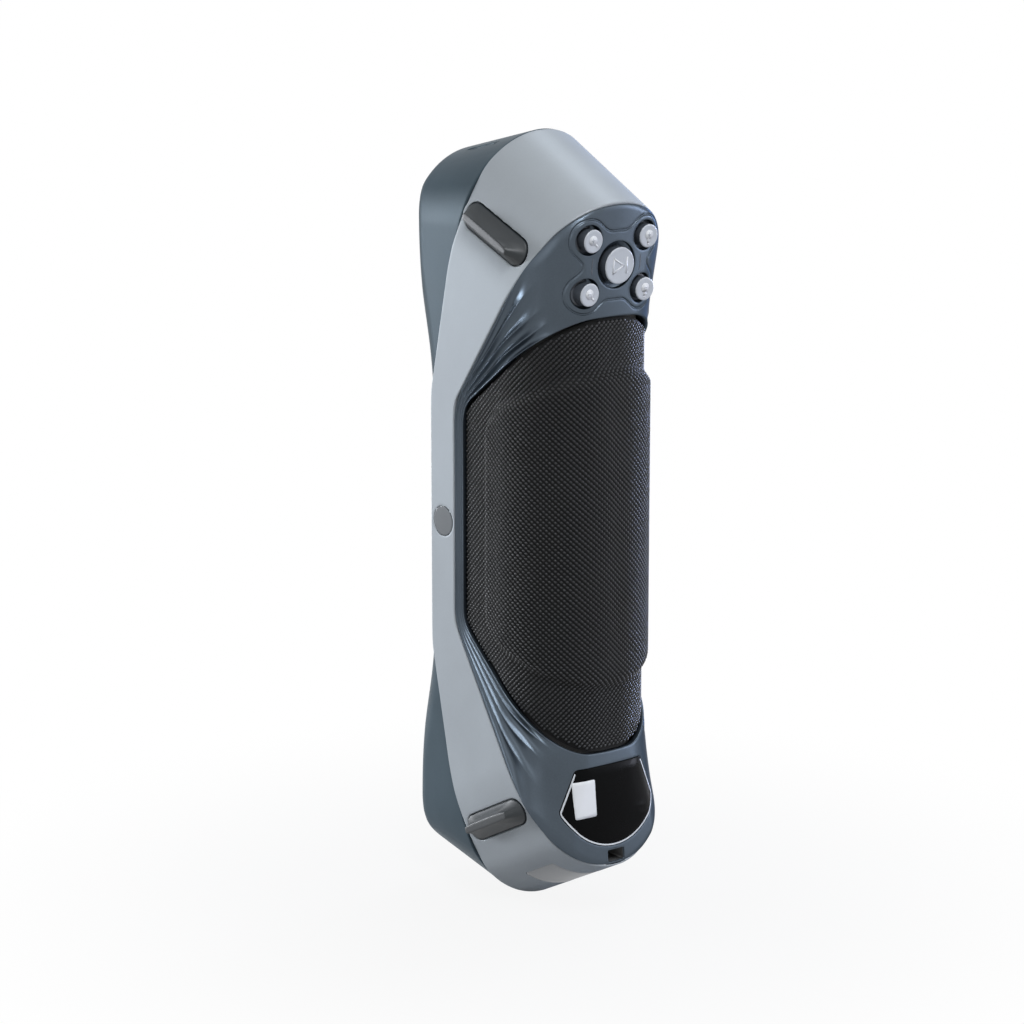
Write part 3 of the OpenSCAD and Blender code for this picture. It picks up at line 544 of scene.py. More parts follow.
def side_band(material):
    rings = rings_between(silver_body, front_seam, rear_seam, np.linspace(0, 1, 41), 153, FAN)
    deep = rings_between(lambda p: silver_body(p) + WALL, front_seam, rear_seam,
                         np.linspace(0.04, 0.96, 6), 153, FAN)
    points, faces, outer = shell(silver_body, rings, 64, deep)
    pad, cap = slot_shape(PAD_L + 0.6, PAD_W + 0.7), circle(CAP_R)
    plate = round_box(PLATE_W, PLATE_H, 0.8)
    cuts = [(turned_frame(PADS[sz], sx, 1), pad, (0, 0), INSIDE, 0.3) for sx, sz in side_frames().values()]
    cuts += [(turned_frame(CAP, s, 1), cap, (0, 0), INSIDE, 0.25) for s in (1, -1)]
    cuts.append((PLATE, plate, (0, 0), INSIDE, 0.4))
    mouth = [(SOCKET, MOUTH, (0, 0), INSIDE, 0.35)]
    parts = [(points, without(points, faces, outer, cuts, mouth))]
    for at in PADS.values():
        pocket = laid(silver_body, at, pad, recess(POCKET_DEEP, 0.3, 0.85), 120)
        parts += [pocket, mirrored(*pocket, -1, 1)]
    seat = laid(silver_body, CAP, cap, recess(CAP_SEAT, 0.25, 0.7), 96)
    parts += [seat, mirrored(*seat, -1, 1)]
    parts.append(laid(silver_body, PLATE, plate, recess(0.4, 0.15, 1.2), 160))
    return make("side_band_skin", *join(parts), material, slot="silver_metal",
                stands_for=["side_band"])


def rear_shell(material):
    rings = rings_between(rear_body, grip_seam, shell_seam, np.linspace(0, 1, 41), 85, REAR_FAN)
    deep = rings_between(lambda p: rear_body(p) + WALL, grip_seam, shell_seam,
                         np.linspace(0.08, 0.92, 6), 85, REAR_FAN)
    points, faces, outer = shell(rear_body, rings, 86, deep, flutes)
    label = label_shape
    cuts = [(LABEL, label, (0, 0), INSIDE, 0.4), (PANEL, clover, (0, 0), -0.45, 0.45)]
    mouth = [(SOCKET, MOUTH, (0, 0), INSIDE, 0.3)]
    parts = []
    for u, v, d, rise in BUTTONS.values():
        wide = 6.3 if d > 8 else 4.0
        well = circle(wide)
        cuts.append((PANEL, well, (u, v), INSIDE, 0.35))
        rings = recess(1.0 if d > 8 else 1.7, 0.25, 0.68)
        if d > 8:
            rings += [(d / 2 + 0.35 - wide, -1.1), (d / 2 + 0.2 - wide, -1.2), (d / 2 + 0.2 - wide, -1.9)]
        parts.append(laid(rear_body, PANEL, well, rings, 96, False, (u, v)))
    groove = [(-0.85, 0.015), (-0.5, 0.015), (-0.36, -0.02), (-0.26, -0.12), (-0.2, -0.28),
              (0.0, -0.36), (0.2, -0.28), (0.26, -0.12), (0.36, -0.02), (0.5, 0.015), (0.85, 0.015)]
    parts.append(laid(rear_body, PANEL, clover, groove[::-1], 420, False))
    parts.append(laid(rear_body, LABEL, label, recess(0.45, 0.2, 0.8), 220))
    parts.append(laid(rear_body, SOCKET, MOUTH, recess(0.5, 0.12, 0.55), 120, False))
    parts.insert(0, (points, without(points, faces, outer, cuts, mouth)))
    return make("rear_shell_skin", *join(parts), material, slot="rear_plastic",
                stands_for=["rear_shell"])


def front_shell(material):
    rings = front_rings(41)
    deep = []
    for t in np.linspace(0.06, 0.94, 6):
        ring = rings[int(round(t * 40))]
        deep.append(ring - normal_of(front_body, ring) * WALL)
    points, faces, outer = shell(front_body, rings, 44, deep)
    cuts, parts = [], []
    for sx in (1, -1):
        for sz in (1, -1):
            at = turned_frame(VENT, sx, sz)
            cuts.append((at, vent_shape, (0, 0), INSIDE, 0.4))
            vent = laid(front_body, VENT, vent_shape, recess(1.6, 0.15, 0.45), 72)
            parts.append(mirrored(*vent, sx, sz))
    parts.insert(0, (points, without(points, faces, outer, cuts)))
    return make("front_shell_skin", *join(parts), material, slot="front_plastic",
                stands_for=["front_shell"])


def vent_shape(u, v):
    return slot_shape(12.6, 1.1)(v, u)


VENT = frame_at((8.5, -15.9, 101.1), (1, 0, 0), (0, math.cos(NOSE_LEAN), math.sin(NOSE_LEAN)))


def lathe(at, u0, v0, profile, count=72):
    """A turned piece on a frame's normal. profile is (radius, height), from one end to the other."""
    angle = np.linspace(0, 2 * math.pi, count, endpoint=False)
    points = [place(at, [u0], [v0], [profile[0][1]])]
    for r, h in profile[1:-1]:
        points.append(place(at, u0 + r * np.cos(angle), v0 + r * np.sin(angle), np.full(count, h)))
    points.append(place(at, [u0], [v0], [profile[-1][1]]))
    points = np.vstack(points)
    rows = len(profile) - 2
    faces = [[int(k) + 1 for k in f] for f in grid_faces(rows, count)]
    last = len(points) - 1
    faces += [[0, 1 + (k + 1) % count, 1 + k] for k in range(count)]
    base = 1 + (rows - 1) * count
    faces += [[last, base + k, base + (k + 1) % count] for k in range(count)]
    return points, facing_out(points, faces)


def rounded(radius, top, edge, bottom):
    """A turned profile with a rounded upper edge and a faint dish in the top."""
    profile = [(0, top - 0.06), (radius * 0.5, top - 0.05), (radius - edge - 0.5, top - 0.01),
               (radius - edge - 0.2, top)]
    for k in range(0, 6):
        a = math.pi / 2 * k / 5
        profile.append((radius - edge + edge * math.sin(a), top - edge + edge * math.cos(a)))
    profile += [(radius, top - edge - 0.1), (radius, bottom + 0.02)]
    return profile + [(radius - 0.02, bottom), (0, bottom)]


def buttons(material, side):
    """Each button: a pale face with a rounded rim on a dark column, and the foot that holds it in."""
    for name, (u, v, d, rise) in BUTTONS.items():
        over = 1.0 if d < 8 else 1.3
        profile = rounded(d / 2, rise, 0.32, -2.1)
        piece = make(name + "_cap", *lathe(PANEL, u, v, profile), (material, side), body=name + "_button",
                     slot="button_face", stands_for=[name + "_button"])
        height = [((f.center / MM - Vector(PANEL[0])) @ Vector(PANEL[3])) for f in piece.data.polygons]
        piece.data.polygons.foreach_set("material_index", [int(h < rise - 0.3) for h in height])
        rim = d / 2 + over - 0.3
        foot = [(0, -2.12), (rim - 0.2, -2.12), (rim, -2.25), (rim, -3.0), (1.5, -3.0), (1.5, -4.9),
                (0, -4.9)]
        make(name + "_foot", *lathe(PANEL, u, v, foot, 48), side, body=name + "_button",
             slot="button_face")


def stroke(u, v, h, start, end, width, thick=0.09):
    """A flat bar of paint on a button, from start to end, in a frame whose u runs to the left."""
    s, e = np.array(start, float), np.array(end, float)
    along = unit(e - s)
    side = np.array([-along[1], along[0]]) * width / 2
    s, e = s - along * width / 2, e + along * width / 2
    corners = [s - side, e - side, e + side, s + side]
    points = np.vstack([place(PANEL, [u - c[0]], [v - c[1]], [h + t]) for t in (0, thick) for c in corners])
    faces = [[3, 2, 1, 0], [4, 5, 6, 7]] + [[k, (k + 1) % 4, (k + 1) % 4 + 4, k + 4] for k in range(4)]
    return points, facing_out(points, faces)


def spot(u, v, h, centre, radius, thick=0.09):
    profile = [(0, h), (radius, h), (radius, h + thick), (0, h + thick)]
    return lathe(PANEL, u - centre[0], v - centre[1], profile, 32)


def icons(white, dark):
    """A play sign with a bar, two magnifiers and two lamps, as thin paint on the buttons."""
    u, v, d, rise = BUTTONS["play"]
    h = rise - 0.05
    tri = [(-2.2, 2.0), (-2.2, -2.0), (1.2, 0.0)]
    bars = [stroke(u, v, h, tri[k], tri[(k + 1) % 3], 0.42) for k in range(3)]
    bars.append(stroke(u, v, h, (2.3, -2.0), (2.3, 2.0), 0.42))
    make("play_icon", *join(bars), white, body="play_button")
    for name in SMALL_PLACES:
        u, v, d, rise = BUTTONS[name]
        h = rise - 0.05
        lamp = name.startswith("light")
        middle = (0.0, 0.35) if lamp else (-0.2, 0.25)
        parts = [spot(u, v, h, middle, 1.3)]
        if lamp:
            parts += [stroke(u, v, h, (0.0, -0.7), (0.0, -1.25), 1.15),
                      stroke(u, v, h, (-0.25, -2.1), (0.25, -2.1), 0.32)]
        else:
            parts.append(stroke(u, v, h, (0.6, -0.65), (1.45, -1.5), 0.55))
        make(name + "_icon", *join(parts), white, body=name + "_button")
        signs = [stroke(u, v, h + 0.03, (middle[0] - 0.5, middle[1]), (middle[0] + 0.5, middle[1]), 0.26)]
        if name in ("zoom_in", "light_up"):
            signs.append(stroke(u, v, h + 0.03, (middle[0], middle[1] - 0.5),
                                (middle[0], middle[1] + 0.5), 0.26))
        make(name + "_sign", *join(signs), dark, body=name + "_button")


def arc_shape(bend):
    """A thin upright arc 4.4 mm long that bows away from the middle."""
    def shape(u, v):
        line = np.abs(u - bend * (1 - (v / 2.2) ** 2) + bend / 2) - 0.14
        return np.maximum(line, np.abs(v) - 2.2)
    return shape


def arcs(light):
    """Two thin darker strips that flank the play button: painted shade that stands in for two engraved arcs.
    """
    parts = []
    for side in (1, -1):
        rings = [(0.0, 0.0), (-0.01, 0.03), (-0.05, 0.04)]
        parts.append(laid(rear_body, PANEL, arc_shape(side * 0.2), rings, 80, True, (side * 8.2, 0)))
    # the strips stand 0.04 mm proud in the darker side material: painted shade of the grooves
    make("play_arc_groove_shade", *join(parts), light)


def pads(material):
    """The side pads: capsules with a flat narrow top, and slopes at both sides and ends."""
    count = 140
    base = slot_shape(PAD_L, PAD_W)
    top = round_box(19.4, 2.1, 0.8)
    aside_u, aside_v = -0.5, 0.1
    for sz, at in PADS.items():
        rings = []
        for grow, height in ((-0.02, -PAD_HIGH), (-0.02, 0.1), (-0.08, 0.24), (-0.22, 0.32)):
            u, v = trace(base, grow, count)
            rings.append(on_surface(silver_body, at, u, v, np.full(count, height)))
        foot = rings[-1]
        tu, tv = trace(top, 0.0, count)
        peak = place(at, tu + aside_u, tv + aside_v, np.full(count, PAD_HIGH))
        for share in (0.5, 0.93, 0.985):
            rings.append(foot + (peak - foot) * share)
        for grow in (-0.12, -0.6):
            tu, tv = trace(top, grow, count)
            rings.append(place(at, tu + aside_u, tv + aside_v, np.full(count, PAD_HIGH)))
        rows = len(rings)
        rings.append(place(at, [aside_u], [aside_v], [PAD_HIGH]))
        rings.append(place(at, [0], [0], [-PAD_HIGH]))
        points = np.vstack(rings)
        faces = [list(map(int, f)) for f in grid_faces(rows, count)]
        last = (rows - 1) * count
        faces += [[last + k, last + (k + 1) % count, rows * count] for k in range(count)]
        faces += [[(k + 1) % count, k, rows * count + 1] for k in range(count)]
        faces = facing_out(points, faces)
        end = "upper" if sz > 0 else "lower"
        for side, sx in (("right", 1), ("left", -1)):
            name = end + "_" + side + "_pad"
            make(name + "_rubber", *mirrored(points, faces, sx, 1), material, slot="pad_rubber",
                 stands_for=[name])


def caps(material):
    profile = [(0, 0.0), (2.5, 0.0), (3.7, -0.01)]
    profile += [(3.9 + 0.3 * math.sin(a), -0.31 + 0.3 * math.cos(a)) for a in np.linspace(0, math.pi / 2, 5)]
    profile += [(CAP_R, 0.1 - CAP_SEAT), (0, 0.1 - CAP_SEAT)]
    points, faces = lathe(CAP, 0, 0, profile, 72)
    for name, s in (("right_cap", 1), ("left_cap", -1)):
        make(name + "_rubber", *mirrored(points, faces, s, 1), material, slot="cap_rubber",
             stands_for=[name])


def socket_housing(material):
    """The cable socket: a deep black box behind the mouth."""
    count = 96
    back, front = -SOCKET_DEEP - 3 * SOCKET_WALL, -0.5
    points = [place(SOCKET, [0], [0], [back])]
    for grow, height in ((SOCKET_WALL, back), (SOCKET_WALL, front), (0.0, front), (0.0, -SOCKET_DEEP)):
        u, v = trace(MOUTH, grow, count)
        points.append(place(SOCKET, u, v, np.full(count, height)))
    points.append(place(SOCKET, [0], [0], [-SOCKET_DEEP]))
    points = np.vstack(points)
    faces = [[int(k) + 1 for k in f] for f in grid_faces(4, count)]
    last = len(points) - 1
    faces += [[0, 1 + (k + 1) % count, 1 + k] for k in range(count)]
    faces += [[last, last - count + k, last - count + (k + 1) % count] for k in range(count)]
    make("socket_housing", points, facing_out(points, faces), material, slot="black_plastic",
         stands_for=["cable_socket"])


def thin_plates(black, rim, grey, blank):
    """The label plate with its light rim and its blank sticker, and the plate on the lower end."""
    rings = [(-0.12, -0.44), (-0.12, -0.15), (-0.16, -0.08), (-0.24, -0.04)]
    make("label_plate_face", *laid(rear_body, LABEL, label_shape, rings, 220), black, slot="label_black",
         stands_for=["label_plate"])
    edge = laid(rear_body, LABEL, label_shape, [(-0.2, -0.02), (-0.62, -0.02)], 220, False)
    v = (edge[0] - LABEL[0]) @ LABEL[2]
    keep = [f for f in edge[1] if max(v[k] for k in f) < 12.2]
    make("label_rim", edge[0], keep, rim)
    sticker = [(0.0, -0.03), (-0.01, 0.02)]
    at = frame_at(place(LABEL, [-9.3], [4.6], [0])[0], LABEL[1], LABEL[2])
    make("label_blank", *laid(rear_body, at, round_box(6.9, 10.1, 0.2), sticker, 80), blank)
    rings = [(-0.12, -0.38), (-0.12, -0.08), (-0.2, -0.02)]
    make("end_plate_face", *laid(silver_body, PLATE, round_box(27.3, 13.6, 0.8), rings, 160), grey,
         slot="plate_grey", stands_for=["end_plate"])


# The fabric grip

def grip_curve(count):
    """The grip's cross-section from one edge round the back to the other, as x, y and its normal's angle."""
    arc = np.linspace(0, math.pi / 2, count)
    x = np.r_[[GRIP_W] * 14, GRIP_W - GRIP_R + GRIP_R * np.cos(arc)]
    y = np.r_[np.linspace(GRIP_Y, GRIP_BACK - GRIP_R, 14, endpoint=False),
              GRIP_BACK - GRIP_R + GRIP_R * np.sin(arc)]
    a = np.r_[np.zeros(14), arc]
    return np.r_[x, -x[::-1]], np.r_[y, y[::-1]], np.r_[a, math.pi - a[::-1]]


def grip_end(y, z):
    waist = np.where(z < 0, WAIST_LOW, WAIST_UP)
    slope = (59.4 - waist + 0.5) / 35.9
    corner = waist - 0.5 + (y - GRIP_Y) * slope
    return corner - 1.2 * np.exp(-(y - GRIP_Y) / 2.0)


def rim_distance(y, z):
    """How far a point of the grip lies inside the raised field, in millimetres."""
    rim = 32.0 + 0.5 * (y - 4) - np.where(z < 0, 4.4, 0)
    return -both(-(y - 3.0), (np.abs(z) - rim) * 0.894, 5.0)


def grip_height(y, z):
    return GRIP_RISE * ramp(-1.6, 1.6, rim_distance(y, z))


def grip_surface(s, z, curve, length):
    """Points and normals of the grip's outside at arc length s and height z."""
    x = np.interp(s, length, curve[0])
    y = np.interp(s, length, curve[1])
    a = np.interp(s, length, curve[2])
    h = grip_height(y, z)
    edge = np.minimum(y - GRIP_Y, (grip_end(y, z) - np.abs(z)) * 0.8)
    edge = np.clip(edge, 0, 0.9)
    h = h - (0.9 - np.sqrt(np.maximum(0.81 - (0.9 - edge) ** 2, 0)))
    return np.stack([x + h * np.cos(a), y + h * np.sin(a), z], axis=-1)


def grip_arc(count=60):
    curve = grip_curve(count)
    step = np.hypot(np.diff(curve[0]), np.diff(curve[1]))
    return curve, np.r_[0, np.cumsum(step)]


def grip_bed(material):
    """The floor of the rear shell under the grip, which closes the gap round the fabric. It is black, not
    the shell's paint: painted shade in that gap.
    """
    curve, length = grip_arc()
    s = np.linspace(0, length[-1], 90)
    x, y, a = (np.interp(s, length, curve[k]) for k in range(3))
    rows = []
    for v in np.linspace(-1, 1, 61):
        for_end = grip_end(y, np.full(len(s), v)) + 2.2
        rows.append([np.stack([x - depth * np.cos(a), y - depth * np.sin(a), v * for_end], axis=1)
                     for depth in (2.1, 2.8)])
    sheet = np.array(rows)
    around = np.concatenate([sheet[:, 0], sheet[:, 1, ::-1]], axis=1)
    faces = [list(map(int, f)) for f in grid_faces(len(around), around.shape[1])]
    n, m = around.shape[:2]
    for k in range(len(s) - 1):
        faces.append([k, k + 1, m - 2 - k, m - 1 - k])
        base = (n - 1) * m
        faces.append([base + m - 1 - k, base + m - 2 - k, base + k + 1, base + k])
    points = around.reshape(-1, 3)
    make("grip_bed", points, facing_out(points, faces), material, slot="rear_plastic")


def grip_pad(material):
    curve, length = grip_arc()
    near = np.array([0, 0.1, 0.3, 0.6, 0.9])
    s = np.r_[near, np.linspace(1.6, length[-1] - 1.6, 130), length[-1] - near[::-1]]
    y = np.interp(s, length, curve[1])
    rows = []
    for v in np.linspace(-1, 1, 111):
        end = grip_end(y, np.full(len(s), v))
        rows.append(grip_surface(s, v * end, curve, length))
    rows = np.array(rows)
    body = rows.reshape(-1, 3)
    n = len(s)
    inner = []
    for row in rows:
        a = np.interp(s, length, curve[2])
        inner.append(row - np.stack([np.cos(a), np.sin(a), np.zeros(n)], axis=1) * 1.9)
    inner = np.array(inner)
    whole = np.vstack([body, inner.reshape(-1, 3)])
    top = grid_faces(len(rows), n, False, False)
    under = top[:, ::-1] + len(body)
    r = len(rows)
    border = ([(0, k) for k in range(n)] + [(i, n - 1) for i in range(1, r)]
              + [(r - 1, k) for k in range(n - 2, -1, -1)] + [(i, 0) for i in range(r - 2, 0, -1)])
    ids = [i * n + k for i, k in border]
    walls = [[ids[k], ids[(k + 1) % len(ids)], ids[(k + 1) % len(ids)] + len(body), ids[k] + len(body)]
             for k in range(len(ids))]
    faces = [list(map(int, f)) for f in np.vstack([top, under])] + [list(map(int, w)) for w in walls]
    if facing_out(whole, faces) is not faces:
        faces = [f[::-1] for f in faces]
    piece = make("grip_fabric", whole, faces, material, slot="grip_fabric", stands_for=["grip_pad"])
    return piece


STITCH = {"Half length": 0.57, "Half width": 0.36, "Half height": 0.28}


def grip_weave(material):
    """The woven nubs of the grip: small stitches in diagonal rows, made by instances."""
    curve, length = grip_arc()
    pitch = 1.46
    s, z = np.meshgrid(np.arange(0.8, length[-1], pitch), np.arange(-61, 61, pitch))
    s = np.r_[s.ravel(), (s + pitch / 2).ravel()]
    z = np.r_[z.ravel(), (z + pitch / 2).ravel()]
    y = np.interp(s, length, curve[1])
    room = np.minimum(y - GRIP_Y, (grip_end(y, z) - np.abs(z)) * 0.8)
    rim = rim_distance(y, z)
    bevel = (np.abs(rim) < 0.5) & (y < 9)
    keep = (room > 0.7) & (s < length[-1] - 0.7) & ~bevel
    s, z, y, rim = s[keep], z[keep], y[keep], rim[keep]
    at = grip_surface(s, z, curve, length)
    ahead = grip_surface(s + 0.05, z, curve, length) - at
    above = grip_surface(s, z + 0.05, curve, length) - at
    out = unit(np.cross(ahead, above))
    a = np.interp(s, length, curve[2])
    out *= np.sign((out * np.stack([np.cos(a), np.sin(a), 0 * a], axis=1)).sum(1))[:, None]
    lean = np.where(rim > 0, -0.6, 0.75)
    along = unit(unit(ahead) * np.cos(lean)[:, None] + unit(above) * np.sin(lean)[:, None])
    side = np.cross(out, along)
    axes = np.stack([along, side, out], axis=2)
    turns = [Matrix(each.tolist()).to_euler() for each in axes]
    mesh = bpy.data.meshes.new("weave_points")
    mesh.from_pydata((at * MM).tolist(), [], [])
    turn = mesh.attributes.new("turn", "FLOAT_VECTOR", "POINT")
    turn.data.foreach_set("vector", np.array(turns, float).ravel())
    source = bpy.data.objects.new("weave_points", mesh)
    bpy.context.scene.collection.objects.link(source)
    modifier = source.modifiers.new("weave", "NODES")
    modifier.node_group = stitch_tree(material)
    for item in modifier.node_group.interface.items_tree:
        if item.name in STITCH:
            modifier[item.identifier] = STITCH[item.name] * MM
    bpy.context.view_layer.update()
    made = source.evaluated_get(bpy.context.evaluated_depsgraph_get())
    plain = bpy.data.meshes.new_from_object(made)
    bpy.data.objects.remove(source)
    piece = bpy.data.objects.new("grip_weave", plain)
    bpy.context.scene.collection.objects.link(piece)
    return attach(piece, ROOT)


def stitch_tree(material):
    """One stitch on each point, turned by the point's own attribute. Its three half sizes are inputs."""
    tree = bpy.data.node_groups.new("stitches", "GeometryNodeTree")
    sockets = tree.interface
    sockets.new_socket("Points", in_out="INPUT", socket_type="NodeSocketGeometry")
    for size in STITCH:
        sockets.new_socket(size, in_out="INPUT", socket_type="NodeSocketFloat")
    sockets.new_socket("Stitches", in_out="OUTPUT", socket_type="NodeSocketGeometry")
    new, link = tree.nodes.new, tree.links.new
    given, result = new("NodeGroupInput"), new("NodeGroupOutput")
    stitch = new("GeometryNodeMeshIcoSphere")
    stitch.inputs["Radius"].default_value = 1.0
    stitch.inputs["Subdivisions"].default_value = 1
    sizes = new("ShaderNodeCombineXYZ")
    for axis, size in zip("XYZ", STITCH):
        link(given.outputs[size], sizes.inputs[axis])
    sized = new("GeometryNodeTransform")
    turn = new("GeometryNodeInputNamedAttribute")
    turn.data_type = "FLOAT_VECTOR"
    turn.inputs["Name"].default_value = "turn"
    euler = new("FunctionNodeEulerToRotation")
    placed = new("GeometryNodeInstanceOnPoints")
    real = new("GeometryNodeRealizeInstances")
    smooth = new("GeometryNodeSetShadeSmooth")
    finish = new("GeometryNodeSetMaterial")
    finish.inputs["Material"].default_value = material
    link(stitch.outputs["Mesh"], sized.inputs["Geometry"])
    link(sizes.outputs["Vector"], sized.inputs["Scale"])
    link(given.outputs["Points"], placed.inputs["Points"])
    link(sized.outputs["Geometry"], placed.inputs["Instance"])
    link(turn.outputs["Attribute"], euler.inputs["Euler"])
    link(euler.outputs["Rotation"], placed.inputs["Rotation"])
    link(placed.outputs["Instances"], real.inputs["Geometry"])
    link(real.outputs["Geometry"], smooth.inputs["Geometry"])
    link(smooth.outputs["Geometry"], finish.inputs["Geometry"])
    link(finish.outputs["Geometry"], result.inputs[0])
    return tree


# Materials. Each is a small node tree in Object coordinates, with its sizes in mm

def rgb(code):
    """A hex sRGB colour as the linear colour that Blender works in."""
    c = [int(code[k:k + 2], 16) / 255 for k in (0, 2, 4)]
    return [v / 12.92 if v <= 0.04045 else ((v + 0.055) / 1.055) ** 2.4 for v in c] + [1.0]


def add(tree, kind, values=(), links=(), **facts):
    """A node with its settings, its input values and the sockets linked into it."""
    node = tree.nodes.new("ShaderNode" + kind)
    for key, value in facts.items():
        setattr(node, key, value)
    for key, value in dict(values).items():
        node.inputs[key].default_value = value
    for key, socket in dict(links).items():
        tree.links.new(socket, node.inputs[key])
    return node


def surface(name, light, dark, rough, grain=0.4, patch=25.0, depth=0.01, wear=0.35, **shader):
    """A finish with a fine grain in its bump and broad patches in its colour and gloss, sizes in mm.
    light and dark are hex colours, rough is (lowest, highest), and shader gives the other sockets' values.
    A real blasted or eroded grain is near 0.05 mm, so it is drawn coarser, as fine as the view can show."""
    material = bpy.data.materials.new(name)
    material.use_nodes = True
    tree = material.node_tree
    tree.nodes.clear()
    place = add(tree, "TexCoord").outputs["Object"]
    fine = add(tree, "TexNoise", {"Scale": 1000 / grain, "Detail": 2.0, "Roughness": 0.55},
               {"Vector": place}).outputs["Fac"]
    cloud = add(tree, "TexNoise", {"Scale": 1000 / patch, "Detail": 4.0, "Roughness": 0.55},
                {"Vector": place}).outputs["Fac"]
    worn = add(tree, "Math", {1: wear}, {0: fine, 2: cloud}, operation="MULTIPLY_ADD").outputs[0]
    share = add(tree, "MapRange", {"From Min": 0.35 + wear * 0.3, "From Max": 0.65 + wear * 0.7},
                {"Value": worn}).outputs["Result"]
    colour = add(tree, "Mix", {6: rgb(dark), 7: rgb(light)}, {0: share}, data_type="RGBA").outputs[2]
    gloss = add(tree, "MapRange", {"From Min": 0.3, "From Max": 0.7, "To Min": rough[0], "To Max": rough[1]},
                {"Value": cloud}).outputs["Result"]
    relief = add(tree, "Bump", {"Strength": 1.0, "Distance": depth * MM}, {"Height": fine}).outputs["Normal"]
    values = {key.replace("_", " "): value for key, value in shader.items()}
    paint = add(tree, "BsdfPrincipled", values, {"Base Color": colour, "Roughness": gloss, "Normal": relief})
    add(tree, "OutputMaterial", links={"Surface": paint.outputs["BSDF"]})
    return material


def smoked_glass():
    """Dark glass that lets a little light through, so that the lenses behind it just show."""
    material = surface("smoked_front_glass", "0e1316", "090c0e", (0.03, 0.06), 1.11, 33.0, 0.001,
                       IOR=1.5)
    tree = material.node_tree
    shader = [n for n in tree.nodes if n.type == "BSDF_PRINCIPLED"][0]
    out = [n for n in tree.nodes if n.type == "OUTPUT_MATERIAL"][0]
    clear = add(tree, "BsdfTransparent", {"Color": rgb("3a4448")})
    blend = add(tree, "MixShader", {0: 0.45}, {1: shader.outputs["BSDF"], 2: clear.outputs["BSDF"]})
    tree.links.new(blend.outputs["Shader"], out.inputs["Surface"])
    return material


